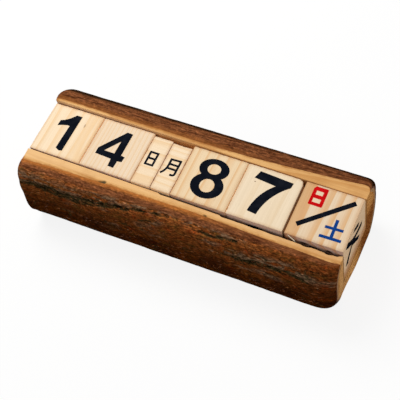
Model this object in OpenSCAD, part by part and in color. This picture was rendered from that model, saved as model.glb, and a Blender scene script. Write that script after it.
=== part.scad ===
// Perpetual desk calendar: a length of log with its bark on, cut flat on top, milled with a channel that is
// open at both ends, and filled with a row of seven loose wooden blocks.
// Millimetres. X runs along the row from left to right, Y from front to back, Z up.
// The origin lies on the flat base, under the middle of the channel.

/* [Blocks] */
// Edge of a number cube and of the weekday cube
cube_size = 35; // [25:0.5:45]
// Thickness of the day tile and of the month tile, along the row
tile_t = 12.8; // [8:0.1:20]
// How much shorter the day tile is than a cube, from front to back
day_tile_short = 1.4; // [0:0.2:4]
// How much shorter the month tile is than a cube, from front to back
month_tile_short = 2.4; // [0:0.2:4]
// Gap between one block and the next
block_gap = 0.15; // [0.1:0.05:0.6]
// Chamfer that eases every edge of a block
block_chamfer = 0.4; // [0.2:0.1:1.2]

/* [Channel] */
// Gap between the blocks and each wall of the channel
side_gap = 0.5; // [0.2:0.1:1.5]
// Wood left between the channel and the flat base
floor_t = 18; // [12:0.5:24]
// Length of log past the row of blocks at each end
end_reveal = 0.3; // [0:0.1:2]

/* [Rim] */
// Drop from the tops of the blocks to the sawn rim, at the middle of the tray
rim_drop = 0.6; // [0:0.1:2]
// Tilt of the sawn rim about the length of the log, which raises the back wall
rim_roll = 4; // [0:0.5:6]
// Fall of the sawn rim towards the right-hand end
rim_fall = 0.95; // [0:0.05:2]

/* [Log] */
// Thickness of the bark
bark_t = 2.6; // [1.5:0.1:4]
// Width of the furrows in the bark
furrow_w = 4; // [2:0.5:6]
// Bark left at the bottom of a furrow
furrow_floor = 1.1; // [0.4:0.1:1.4]
// Widest wood and bark in front of the channel, at the left end
front_flank_l = 20.4; // [17:0.2:26]
// Widest wood and bark in front of the channel, at the right end
front_flank_r = 18; // [16:0.2:26]
// Widest wood and bark behind the channel, at the left end
back_flank_l = 20.4; // [17:0.2:26]
// Widest wood and bark behind the channel, at the right end
back_flank_r = 19.6; // [16:0.2:26]
// Height of the widest line of the front, at the left end
front_belly_l = 19; // [12:0.5:28]
// Height of the widest line of the front, at the right end
front_belly_r = 17; // [12:0.5:28]
// Height of the widest line of the back, at the left end
back_belly_l = 23; // [12:0.5:32]
// Height of the widest line of the back, at the right end
back_belly_r = 30; // [12:0.5:32]
// Round of the front edge at the left end
front_round_l = 1.5; // [0.5:0.25:6]
// Round of the back edge at the left end
back_round_l = 4; // [0.5:0.25:6]
// Round of the back edge at the right end
back_round_r = 4; // [0.5:0.25:8]
// Round of the front edge at the right end, along the log
front_round_r = 11; // [4:0.5:14]
// Depth of that round at the base, from front to back; it fades out towards the rim
front_round_depth = 7.4; // [1:0.2:9]

/* [Hidden] */

LEFT = 0;
RIGHT = 1;
FRONT = -1;
BACK = 1;

// The row of blocks, from left to right: the thickness of each along X and its length along Y.
block_widths = [cube_size, cube_size, tile_t, tile_t, cube_size, cube_size, cube_size];
block_lengths = [
    cube_size, cube_size,
    cube_size - day_tile_short, cube_size - month_tile_short,
    cube_size, cube_size, cube_size
];
last_block = len(block_widths) - 1;
function width_before(i) = i == 0 ? 0 : width_before(i - 1) + block_widths[i - 1] + block_gap;
row_len = width_before(last_block) + block_widths[last_block];
tray_len = row_len + 2 * end_reveal;
function block_x(i) = -row_len / 2 + width_before(i);

// The channel and the sawn rim.
channel_w = cube_size + 2 * side_gap;
block_top = floor_t + cube_size;
rim_h = block_top - rim_drop;

// Each side of the log is a superellipse, from its widest line up to an unsawn crown and down to a keel. The
// crowns are heights above the blocks, the keels are depths under the base, and the powers set how square the
// sides are. Pairs hold a value for the left end and one for the right end.
front_flank = [front_flank_l, front_flank_r];
back_flank = [back_flank_l, back_flank_r];
front_belly = [front_belly_l, front_belly_r];
back_belly = [back_belly_l, back_belly_r];
front_crown = [5, 2];
back_crown = [9, 8];
front_keel = [11, 8];
back_keel = [8, 12];
front_power = [4, 3];
back_power = [2.5, 2.5];
keel_power = 2.4;

// Furrows in the bark of each side. A point of a route is [share of the log's length, share of the rim's
// height]; a route that runs past an end is open there, and other ends close up.
front_furrow_shares = [
    [
        [-0.01, 0.83], [0.1, 0.83], [0.19, 0.8], [0.26, 0.85], [0.34, 0.89], [0.42, 0.93],
        [0.5, 0.94], [0.57, 0.92], [0.63, 0.88], [0.71, 0.92]
    ],
    [[0.59, 0.67], [0.68, 0.7], [0.76, 0.73], [0.85, 0.72], [0.96, 0.77]],
    [[0.04, 0.57], [0.15, 0.52], [0.3, 0.48], [0.46, 0.42], [0.62, 0.44], [0.78, 0.38], [0.92, 0.4]],
    [[-0.01, 0.33], [0.15, 0.29], [0.3, 0.22], [0.44, 0.24]],
    [[0.5, 0.16], [0.7, 0.13], [0.92, 0.17]]
];
back_furrow_shares = [
    [[-0.01, 0.8], [0.12, 0.85], [0.25, 0.79], [0.37, 0.84], [0.47, 0.81]],
    [[0.4, 0.96], [0.53, 0.93], [0.67, 0.95], [0.82, 0.9]],
    [[0.57, 0.66], [0.72, 0.69], [0.86, 0.63], [1.01, 0.67]],
    [[0.06, 0.54], [0.23, 0.48], [0.4, 0.53], [0.52, 0.49]],
    [[0.1, 0.24], [0.3, 0.29], [0.45, 0.26]],
    [[0.48, 0.33], [0.65, 0.36], [0.82, 0.3], [0.95, 0.33]]
];
// Share of its size that a furrow keeps at an end that closes up, and how far its cut reaches outside the bark.
closed_share = 0.1;
furrow_over = 1;

// The least that a share comes down to, where a side closes over its crown or a round fades out.
least_share = 0.02;

// The grid of points on each side: levels that crowd towards the shoulder, and sections along X that crowd
// towards the rounded ends. The grid ends a little above the rim.
levels = 12;
level_crowding = 1.4;
stations = 8;
round_steps = 5;
spare_h = 0.5;
function end_steps(reach) = [for (i = [0 : round_steps - 1]) reach * (1 - cos(90 * i / round_steps))];
left_reach = max(front_round_l, back_round_l);
right_reach = max(front_round_r, back_round_r);
section_x = concat(
    [for (d = end_steps(left_reach)) -tray_len / 2 + d],
    [
        for (i = [0 : stations])
            -tray_len / 2 + left_reach + (tray_len - left_reach - right_reach) * i / stations
    ],
    [for (i = [round_steps - 1 : -1 : 0]) tray_len / 2 - end_steps(right_reach)[i]]
);

// Value at x of something that changes evenly from the left end to the right end.
function along(pair, x) = pair[LEFT] + (pair[RIGHT] - pair[LEFT]) * (x / tray_len + 0.5);

// How far a rounded end edge has come in, at a distance from the end of the log.
function round_in(distance, reach, depth) =
    distance >= reach ? 0 : depth * (1 - sqrt(1 - pow(1 - distance / reach, 2)));

// Depth of the round of the right end's front edge at height z.
function fading_depth(z) = front_round_depth * sqrt(max(least_share, 1 - pow(z / block_top, 2)));

// Inset of a side at x and z, for the rounded edges of the ends.
function end_inset(x, z, side) =
    let (to_left = tray_len / 2 + x, to_right = tray_len / 2 - x)
    side == FRONT
        ? round_in(to_left, front_round_l, front_round_l) + round_in(to_right, front_round_r, fading_depth(z))
        : round_in(to_left, back_round_l, back_round_l) + round_in(to_right, back_round_r, back_round_r);

// Distance from the middle of the channel to a surface of the log on one side, at x and z. The depth is that of
// the surface under the outside of the bark.
function log_reach(x, z, side, depth) =
    let (
        belly = along(side == FRONT ? front_belly : back_belly, x),
        widest = channel_w / 2 + along(side == FRONT ? front_flank : back_flank, x) - depth,
        crown = block_top + along(side == FRONT ? front_crown : back_crown, x) - depth,
        keel = along(side == FRONT ? front_keel : back_keel, x) - depth,
        power = z > belly ? along(side == FRONT ? front_power : back_power, x) : keel_power,
        share = z > belly ? (z - belly) / (crown - belly) : (belly - z) / (belly + keel)
    )
    widest * pow(max(least_share, 1 - pow(share, power)), 1 / power) - end_inset(x, z, side);

// Height of the rim at x and y, and of the top of the grid on one side at x.
function rim_z(x, y) = rim_h - x * tan(rim_fall) + y * tan(rim_roll) / cos(rim_fall);
function top_z(x, side) =
    spare_h + rim_z(x, side == FRONT ? -channel_w / 2 : channel_w / 2 + along(back_flank, x));

// A surface of the log as a grid of points: a row for each section, and in it a point for each level.
function log_surface(side, depth) = [
    for (x = section_x) [
        for (j = [0 : levels])
            let (z = top_z(x, side) * (1 - pow(1 - j / levels, level_crowding)))
            [x, side * log_reach(x, z, side, depth), z]
    ]
];

// A solid between a surface and another one behind it. Both are split into triangles along the same diagonals,
// so that two solids that share a surface meet without a gap.
module between(near, far) {
    n = levels + 1;
    last_row = (len(section_x) - 1) * n;
    far_at = last_row + n;
    polyhedron(
        points = [for (surface = [near, far]) for (row = surface) for (p = row) p],
        faces = concat(
            [
                for (i = [0 : n : last_row - n]) for (a = [i : i + levels - 1])
                    let (b = far_at + a)
                    each [
                        [a, a + 1, a + n], [a + 1, a + n + 1, a + n],
                        [b, b + n, b + 1], [b + 1, b + n, b + n + 1]
                    ]
            ],
            [
                for (i = [0 : n : last_row - n])
                    let (a = i + levels, b = far_at + i + levels)
                    each [[a, b, a + n], [b, b + n, a + n]]
            ],
            [concat([for (i = [0 : n : last_row]) i], [for (i = [last_row : -n : 0]) far_at + i])],
            [concat([for (j = [0 : levels]) far_at + j], [for (j = [levels : -1 : 0]) j])],
            [
                concat(
                    [for (j = [0 : levels]) last_row + j],
                    [for (j = [levels : -1 : 0]) far_at + last_row + j]
                )
            ]
        )
    );
}

// A piece of the log as it is sawn and milled: without what lies above the rim, and without the channel.
module sawn() {
    reach = 2 * tray_len;
    difference() {
        children();
        translate([0, 0, rim_h])
            rotate([rim_roll, rim_fall, 0])
                translate([-reach / 2, -reach / 2, 0])
                    cube([reach, reach, cube_size]);
        translate([-reach / 2, -channel_w / 2, floor_t])
            cube([reach, channel_w, 2 * cube_size]);
    }
}

// A furrow along a route in the bark of one side: a groove with a sharp bottom, as the space that it takes.
module furrow(route, side) {
    last = len(route) - 1;
    polyhedron(
        points = [
            for (i = [0 : last])
                let (
                    at_end = i == 0 || i == last,
                    share = max(0, min(1, route[i][0])),
                    open = at_end && share == route[i][0] ? closed_share : 1,
                    half_w = open * furrow_w / 2,
                    x = (route[i][0] - 0.5) * tray_len,
                    z = route[i][1] * rim_h
                )
                each [
                    for (corner = [[-side, furrow_over], [side, furrow_over], [0, -open * (bark_t - furrow_floor)]])
                        let (corner_z = z + corner[0] * half_w)
                        [x, side * (log_reach((share - 0.5) * tray_len, corner_z, side, 0) + corner[1]), corner_z]
                ]
        ],
        faces = concat(
            [[0, 1, 2], [3 * last + 2, 3 * last + 1, 3 * last]],
            [
                for (a = [0 : 3 : 3 * last - 3]) for (k = [0 : 2])
                    let (next = (k + 1) % 3)
                    each [[a + k, a + 3 + k, a + 3 + next], [a + k, a + 3 + next, a + next]]
            ]
        )
    );
}

module furrowed(routes, side) {
    difference() {
        children();
        for (route = routes) furrow(route, side);
    }
}

module tray_log() {
    color("burlywood") sawn() between(log_surface(FRONT, bark_t), log_surface(BACK, bark_t));
}

module bark_front() {
    color("saddlebrown")
        furrowed(front_furrow_shares, FRONT) sawn() between(log_surface(FRONT, 0), log_surface(FRONT, bark_t));
}

module bark_back() {
    color("saddlebrown")
        furrowed(back_furrow_shares, BACK) sawn() between(log_surface(BACK, bark_t), log_surface(BACK, 0));
}

// A rectangle with its four corners cut off.
module eased_rectangle(w, h) {
    c = block_chamfer;
    polygon([
        [c, 0], [w - c, 0], [w, c], [w, h - c],
        [w - c, h], [c, h], [0, h - c], [0, c]
    ]);
}

// A block of wood with every edge eased, with its lowest front left corner at the origin.
module eased_block(w, l, h) {
    intersection() {
        linear_extrude(h) eased_rectangle(w, l);
        translate([0, l, 0]) rotate([90, 0, 0]) linear_extrude(l) eased_rectangle(w, h);
        rotate([90, 0, 90]) linear_extrude(w) eased_rectangle(l, h);
    }
}

// The block at one place of the row: it stands on the floor of the channel, near the front wall.
module row_block(i) {
    translate([block_x(i), -cube_size / 2, floor_t])
        eased_block(block_widths[i], block_lengths[i], cube_size);
}

module number_cube_1() {
    color("wheat") row_block(0);
}

module number_cube_2() {
    color("wheat") row_block(1);
}

module day_tile() {
    color("moccasin") row_block(2);
}

module month_tile() {
    color("moccasin") row_block(3);
}

module number_cube_3() {
    color("wheat") row_block(4);
}

module number_cube_4() {
    color("wheat") row_block(5);
}

module weekday_cube() {
    color("navajowhite") row_block(6);
}

tray_log();
bark_front();
bark_back();
number_cube_1();
number_cube_2();
day_tile();
month_tile();
number_cube_3();
number_cube_4();
weekday_cube();
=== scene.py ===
"""Perpetual desk calendar: a half log with its bark on, and a row of seven loose pine blocks in its channel.

The file is laid out as an add-on. Each operator makes one piece, or one group of like pieces, around the
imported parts, which stay where they are. The scene is in metres. A name that ends in _mm is in millimetres,
and so is a number that is multiplied by MM. X runs along the row, Y from front to back, Z up.
"""

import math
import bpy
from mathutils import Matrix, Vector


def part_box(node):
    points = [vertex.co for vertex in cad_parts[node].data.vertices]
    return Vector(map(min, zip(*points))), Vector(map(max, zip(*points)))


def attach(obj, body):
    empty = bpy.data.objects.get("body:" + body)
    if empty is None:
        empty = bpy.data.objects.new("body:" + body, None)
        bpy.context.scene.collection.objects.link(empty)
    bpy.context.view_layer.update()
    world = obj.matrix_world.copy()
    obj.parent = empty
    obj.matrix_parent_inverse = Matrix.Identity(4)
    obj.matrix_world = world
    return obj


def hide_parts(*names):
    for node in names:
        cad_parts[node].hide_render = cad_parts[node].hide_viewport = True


bl_info = {
    "name": "Log desk calendar",
    "version": (1, 0, 0),
    "blender": (4, 5, 0),
    "location": "3D View > Sidebar > Desk calendar",
    "description": "Dresses a perpetual desk calendar in pine, bark and ink",
    "category": "Object",
}

import bmesh
import bpy
import numpy as np
from bpy.props import FloatProperty, FloatVectorProperty, IntProperty, PointerProperty
from mathutils import Matrix, Vector, noise
from mathutils.bvhtree import BVHTree
from mathutils.geometry import delaunay_2d_cdt

MM = 0.001
FRONT = -1
BACK = 1

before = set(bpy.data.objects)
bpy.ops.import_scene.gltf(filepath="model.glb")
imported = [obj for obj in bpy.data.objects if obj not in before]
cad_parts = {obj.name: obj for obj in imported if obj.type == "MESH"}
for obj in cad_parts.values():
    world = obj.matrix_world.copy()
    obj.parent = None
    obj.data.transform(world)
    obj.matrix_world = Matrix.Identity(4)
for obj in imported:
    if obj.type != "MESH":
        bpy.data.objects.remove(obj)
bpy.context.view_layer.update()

NUMBER_CUBES = ["number_cube_1", "number_cube_2", "number_cube_3", "number_cube_4"]
TILES = ["day_tile", "month_tile"]
WEEKDAY = "weekday_cube"
BLOCKS = NUMBER_CUBES + TILES + [WEEKDAY]
TRAY = "tray"
FLOOR_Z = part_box(WEEKDAY)[0].z
HALF_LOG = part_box("tray_log")[1].x


# ----------------------------------------------------------
# Settings
# ----------------------------------------------------------


def length(label, description, default_mm, **limits):
    """A length that the user can change, given in millimetres."""
    return FloatProperty(
        name=label, description=description, default=default_mm * MM, unit="LENGTH", precision=5, **limits
    )


def colour(label, description, default):
    """A colour that the user can change."""
    return FloatVectorProperty(
        name=label, description=description, default=default, subtype="COLOR", size=3, min=0.0, max=1.0
    )


def angle(label, description, degrees):
    """An angle that the user can change, given in degrees."""
    return FloatProperty(name=label, description=description, default=math.radians(degrees), subtype="ANGLE")


def amount(label, description, default, **limits):
    """A plain number that the user can change."""
    return FloatProperty(name=label, description=description, default=default, **limits)


class LogSettings(bpy.types.PropertyGroup):
    """Sizes and colours of the sawn log."""

    section_step: length("Section step", "Distance between sections along the log", 0.55, min=0.2 * MM)
    rim_ease: length("Rim ease", "Round of the rim's edges along the channel", 0.6)
    end_ease: length("End ease", "Round of the sawn edges at both ends of the log", 0.2)
    rim_swell: length("Rim swell", "How far the hand-finished rim rises and falls", 0.12)
    light: colour("Early wood", "Pale part of each ring of the log", (0.82, 0.475, 0.185))
    dark: colour("Late wood", "Dark part of each ring of the log", (0.62, 0.29, 0.085))
    oiled_edge: colour("Oiled edge", "Wood next to the bark", (0.42, 0.16, 0.035))


class BarkSettings(bpy.types.PropertyGroup):
    """Sizes of the bark's relief and its colours."""

    end_ease: length("End ease", "Round of the sawn edges at both ends of the bark", 0.2)
    profile_step: length("Profile step", "Distance between points from the rim down to the base", 0.5)
    furrow_depth: length("Furrow depth", "Depth of the long furrows", 1.3)
    outward: length("Outward", "How far the highest bark stands out of the smooth shell", 0.6)
    crack_depth: length("Crack depth", "Depth of the cracks between the plates", 0.5)
    scale_depth: length("Scale depth", "Height of the steps between thin scales", 0.6)
    fibre_depth: length("Fibre depth", "Depth of the fine fibres", 0.35)
    chip_count: IntProperty(name="Chips", description="Chips on each square decimetre of bark", default=800)
    chip_length: length("Chip length", "Length of a loose chip of bark", 3.0)
    amber: colour("Amber bark", "Bark that was sanded thin next to the rim", (0.40, 0.135, 0.030))
    sanded: colour("Sanded bark", "Bark along the upper edge of the side", (0.25, 0.074, 0.017))
    ridge: colour("Ridges", "Upper part of the side", (0.145, 0.040, 0.008))
    weathered: colour("Scales", "Weathered scales beside the furrows", (0.155, 0.092, 0.052))
    lower: colour("Lower bark", "Lower half of the side", (0.082, 0.018, 0.001))
    moss: colour("Furrow banks", "Green-black banks of the furrows", (0.032, 0.027, 0.010))
    # Painted shade: the deepest part of the furrows, bark that faces downwards, and the rolled outer edge of
    # the back.
    hollow: colour("Hollows", "Inside of the furrows", (0.006, 0.004, 0.002))


class BlockSettings(bpy.types.PropertyGroup):
    """Sizes of the loose blocks."""

    edge_radius: length("Edge radius", "Round of the sanded edges", 0.7)
    edge_wear: length("Edge wear", "Depth of the dents along the edges", 0.2)
    corner_wear: length("Corner wear", "How far the one worn corner has gone", 1.2)
    spans: IntProperty(name="Spans", description="Divisions of a block's face each way", default=36, min=12)


class InkSettings(bpy.types.PropertyGroup):
    """Thickness and colours of the printed marks."""

    proud: length("Proud", "How far the ink stands out of the wood", 0.045)
    sunk: length("Sunk", "How far the ink goes into the wood", 0.1)
    black: colour("Blue-black", "Ink of the numbers", (0.005, 0.0065, 0.0115))
    red: colour("Red", "Ink of the Sunday mark", (0.56, 0.004, 0.006))
    blue: colour("Blue", "Ink of the Saturday mark", (0.006, 0.048, 0.23))


class StageSettings(bpy.types.PropertyGroup):
    """The camera, the lamps and the floor."""

    azimuth: angle("Azimuth", "Direction that the camera looks from, to the right of the front", 39.216)
    elevation: angle("Elevation", "Height of the camera over the horizon", 59.033)
    roll: angle("Roll", "Turn of the camera about its own line of sight", -16.5)
    distance: length("Distance", "Distance from the camera to its target", 511.1)
    target: FloatVectorProperty(
        name="Target",
        description="Point that the camera looks at",
        default=(13.89 * MM, -14.84 * MM, 53.0 * MM),
        unit="LENGTH",
        size=3,
    )
    lens: amount("Lens", "Focal length in millimetres, on a frame 36 mm wide", 81.0)
    key_power: amount("Key lamp", "Power of the large lamp overhead", 5.6, unit="POWER")
    side_power: amount("Side lamp", "Power of the lamp at the right end", 1.35, unit="POWER")
    ambient: amount("Ambient", "Strength of the even light from all round", 0.33)
    floor_shade: amount("Floor shade", "Share of the floor's white that takes shadows", 0.14)


# ----------------------------------------------------------
# Node trees
# ----------------------------------------------------------

FLOAT = "NodeSocketFloat"
VECTOR = "NodeSocketVector"
GEOMETRY = "NodeSocketGeometry"
MATERIAL = "NodeSocketMaterial"
INTEGER = "NodeSocketInt"


class Field:
    """The output of a node. Its sums, products and ramps are written as those of a number."""

    def __init__(self, socket):
        self.socket = socket
        self.tree = socket.id_data
        self.is_vector = socket.type in {"VECTOR", "RGBA"}

    def __add__(self, other):
        return calc("ADD", self, other)

    def __radd__(self, other):
        return calc("ADD", other, self)

    def __sub__(self, other):
        return calc("SUBTRACT", self, other)

    def __rsub__(self, other):
        return calc("SUBTRACT", other, self)

    def __mul__(self, other):
        return calc("MULTIPLY", self, other)

    def __truediv__(self, other):
        return calc("DIVIDE", self, other)

    def __rtruediv__(self, other):
        return calc("DIVIDE", other, self)

    def __abs__(self):
        return calc("ABSOLUTE", self)

    def ramp(self, low, high, to_low=0.0, to_high=1.0):
        """Moves a value smoothly from one range to another, and holds it there."""
        sockets = {"Value": self, "From Min": low, "From Max": high, "To Min": to_low, "To Max": to_high}
        return field(self.tree, "ShaderNodeMapRange", sockets, interpolation_type="SMOOTHSTEP")

    def parts(self):
        """The three parts of a vector."""
        made = step(self.tree, "ShaderNodeSeparateXYZ", {"Vector": self})
        return [Field(socket) for socket in made.outputs]


def fill(node, sockets):
    """Sets inputs of a node, given by name or number, to fields or constants."""
    for key, value in sockets.items():
        socket = node.inputs[key]
        if isinstance(value, Field):
            value.tree.links.new(value.socket, socket)
        else:
            socket.default_value = value


def step(tree, kind, sockets=None, **settings):
    """Adds one node, with its settings and its inputs."""
    made = tree.nodes.new(kind)
    for name, value in settings.items():
        setattr(made, name, value)
    fill(made, sockets or {})
    return made


def field(tree, kind, sockets=None, result=0, **settings):
    """Adds one node and returns one of its outputs."""
    return Field(step(tree, kind, sockets, **settings).outputs[result])


def calc(operation, *values, result=0):
    """Maths on fields and constants. It is vector maths when one of them has three parts."""
    tree = next(value.tree for value in values if isinstance(value, Field))
    vectors = [value.is_vector if isinstance(value, Field) else isinstance(value, tuple) for value in values]
    if operation == "MULTIPLY" and any(vectors) and not all(vectors):
        vector, factor = values if vectors[0] else values[::-1]
        return field(tree, "ShaderNodeVectorMath", {"Vector": vector, "Scale": factor}, operation="SCALE")
    kind = "ShaderNodeVectorMath" if any(vectors) else "ShaderNodeMath"
    return field(tree, kind, dict(enumerate(values)), result, operation=operation)


def mixed(factor, first, second, mode="MIX"):
    """Mixes two colours. A colour given as a constant has three parts."""
    first, second = (shade if isinstance(shade, Field) else (*shade, 1.0) for shade in (first, second))
    sockets = {0: factor, 6: first, 7: second}
    return field(factor.tree, "ShaderNodeMix", sockets, 2, data_type="RGBA", blend_type=mode)


def layered(base, *layers):
    """A colour under layers: each is a mask, a colour, and the way they mix where it isn't a plain one."""
    for mask, shade, *mode in layers:
        base = mixed(mask, base, shade, *mode)
    return base


def gather(*parts):
    """A vector from three parts."""
    tree = next(part.tree for part in parts if isinstance(part, Field))
    return field(tree, "ShaderNodeCombineXYZ", dict(enumerate(parts)))


def cloud(vector, detail=2.0, roughness=0.5, result="Fac"):
    """Soft noise between 0 and 1."""
    sockets = {"Vector": vector, "Scale": 1.0, "Detail": detail, "Roughness": roughness}
    return field(vector.tree, "ShaderNodeTexNoise", sockets, result)


def new_tree(name, kind, inputs, outputs):
    """An empty node tree, its inputs as fields, and its output node.

    Inputs maps a name to a default number or to a type of socket, and outputs maps it to a type of socket.
    """
    tree = bpy.data.node_groups.new(name, kind)
    for label, given in inputs.items():
        numbers = {int: INTEGER, float: FLOAT}
        made = tree.interface.new_socket(label, in_out="INPUT", socket_type=numbers.get(type(given), given))
        if type(given) in numbers:
            made.default_value = given
    for label, socket_type in outputs.items():
        tree.interface.new_socket(label, in_out="OUTPUT", socket_type=socket_type)
    entries = tree.nodes.new("NodeGroupInput").outputs
    return tree, {label: Field(entries[label]) for label in inputs}, tree.nodes.new("NodeGroupOutput")


# ----------------------------------------------------------
# Shader groups that several finishes share
# ----------------------------------------------------------


def pine_grain():
    """Rings round a pith along Z, in millimetres, with the fibres, resin flecks and tone of pine."""
    tree, given, output = new_tree(
        "Pine grain",
        "ShaderNodeTree",
        {"Place": VECTOR, "Ring pitch": 3.0, "Waver": 3.0, "Late share": 0.45, "Seed": 0.0},
        dict.fromkeys(["Late wood", "Fibres", "Flecks", "Tone", "Height"], FLOAT),
    )
    place, seed = given["Place"], given["Seed"]
    shift = gather(seed * 17.3, seed * 5.1, seed * 9.7)

    def along_grain(across, along):
        return place * (across, across, along) + shift

    sway = cloud(along_grain(0.045, 0.011), detail=1.0, result="Color") - (0.5, 0.5, 0.5)
    x, y, _ = (place + sway * given["Waver"]).parts()
    years = cloud(along_grain(0.10, 0.004), detail=1.0)
    phase = calc("FRACT", calc("SQRT", x * x + y * y) / given["Ring pitch"] + years * 1.8)
    late = phase.ramp(0.92 - given["Late share"], 0.92) * phase.ramp(0.93, 1.0, 1.0, 0.0)
    fibres = cloud(along_grain(1.6, 0.035), detail=3.0, roughness=0.62)
    fill(
        output,
        {
            "Late wood": late,
            "Fibres": fibres.ramp(0.3, 0.72),
            "Flecks": cloud(along_grain(2.6, 0.16), detail=1.0).ramp(0.69, 0.80),
            "Tone": cloud(along_grain(0.08, 0.014)).ramp(0.3, 0.7),
            "Height": fibres * 0.7 + late * 0.3,
        },
    )
    return tree


def bark_line():
    """How far the brown of the bark spreads over the rim. Distance is positive in the bark."""
    inputs = {"Place": VECTOR, "Distance": 0.0}
    tree, given, output = new_tree("Bark line", "ShaderNodeTree", inputs, {"Amber": FLOAT, "Brown": FLOAT})
    near = cloud(given["Place"] * (0.28, 0.9, 0.9), detail=4.0, roughness=0.7)
    far = cloud(given["Place"] * (0.035, 0.1, 0.1), detail=1.0)
    edge = given["Distance"] + (near * 4.0 + far * 2.0 - 3.0)
    fill(output, {"Amber": edge.ramp(-1.4, 0.3), "Brown": edge.ramp(0.6, 3.4)})
    return tree


def wear():
    """Small marks of use: soft smudges, fine dust, and a height for a bump."""
    tree, given, output = new_tree(
        "Wear",
        "ShaderNodeTree",
        {"Place": VECTOR, "Smudge size": 11.0, "Dust size": 0.4},
        dict.fromkeys(["Smudge", "Dust", "Height"], FLOAT),
    )
    soft = cloud(given["Place"] * (1.0 / given["Smudge size"]), detail=3.0)
    fine = cloud(given["Place"] * (1.0 / given["Dust size"]))
    fill(output, {"Smudge": soft.ramp(0.42, 0.75), "Dust": fine.ramp(0.55, 0.8), "Height": fine})
    return tree


def shared(tree, make, sockets):
    """Places a shared shader group in a material with its own values. The group is built once."""
    name = make.__name__.replace("_", " ").capitalize()
    group = bpy.data.node_groups.get(name) or make()
    made = step(tree, "ShaderNodeGroup", node_tree=group)
    fill(made, sockets)
    return {socket.name: Field(socket) for socket in made.outputs}


def new_material(name, kind="ShaderNodeBsdfPrincipled"):
    """An empty material, its node tree and its shader."""
    material = bpy.data.materials.new(name)
    material.use_nodes = True
    tree = material.node_tree
    tree.nodes.clear()
    shader = tree.nodes.new(kind)
    output = tree.nodes.new("ShaderNodeOutputMaterial")
    tree.links.new(shader.outputs[0], output.inputs["Surface"])
    return material, tree, shader


def dress(shader, colour, roughness, specular, height, strength, distance_mm):
    """Fills a Principled BSDF. Its normal follows the height."""
    sockets = {"Height": height, "Strength": strength, "Distance": distance_mm * MM}
    normal = field(height.tree, "ShaderNodeBump", sockets)
    looks = {"Base Color": colour, "Roughness": roughness, "Specular IOR Level": specular, "Normal": normal}
    fill(shader, looks)


def place_mm(tree, turn=(0.0, 0.0, 0.0), shift_mm=(0.0, 0.0, 0.0)):
    """Object coordinates in millimetres, turned, then shifted."""
    corner = field(tree, "ShaderNodeTexCoord", result="Object")
    sockets = {"Vector": corner, "Location": shift_mm, "Rotation": turn, "Scale": (1 / MM, 1 / MM, 1 / MM)}
    return field(tree, "ShaderNodeMapping", sockets)


def attribute(tree, name):
    """A number that the piece's own mesh carries."""
    return field(tree, "ShaderNodeAttribute", result="Fac", attribute_name=name)


# ----------------------------------------------------------
# Finishes
# ----------------------------------------------------------

# Turns that lay the grain along Z: for wood that runs along X, and for wood that runs along Y.
GRAIN_ALONG_X = (0.0, -math.pi / 2, 0.0)
GRAIN_ALONG_Y = (math.pi / 2, 0.0, 0.0)

# The pith of the log runs under its base.
LOG_PITH_DEPTH_MM = 6.0
LOG_RING_PITCH_MM = 2.7

# Distances from the channel between which painted shade darkens the ends of the log, next to the gaps beside
# the blocks, in millimetres.
GAP_SHADE_BAND = (1.3, 0.4)


def pine_colour(grain, light, dark, late, fibre, tone):
    """Colour of pine from its grain. Late wood, fibres and broad tone are as strong as their shares."""
    deep = tuple(0.72 * part for part in dark)
    resin = tuple(0.35 * part for part in dark)
    return layered(
        light,
        (grain["Late wood"] * late, dark),
        (grain["Fibres"] * fibre, deep),
        (grain["Tone"] * tone, dark),
        (grain["Flecks"] * 0.22, resin),
    )


def facing(tree, axis):
    """1 on the faces that look along an axis, and 0 on the others."""
    normal = field(tree, "ShaderNodeNewGeometry", result="Normal")
    return abs(normal.parts()[axis]).ramp(0.6, 0.95)


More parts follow.
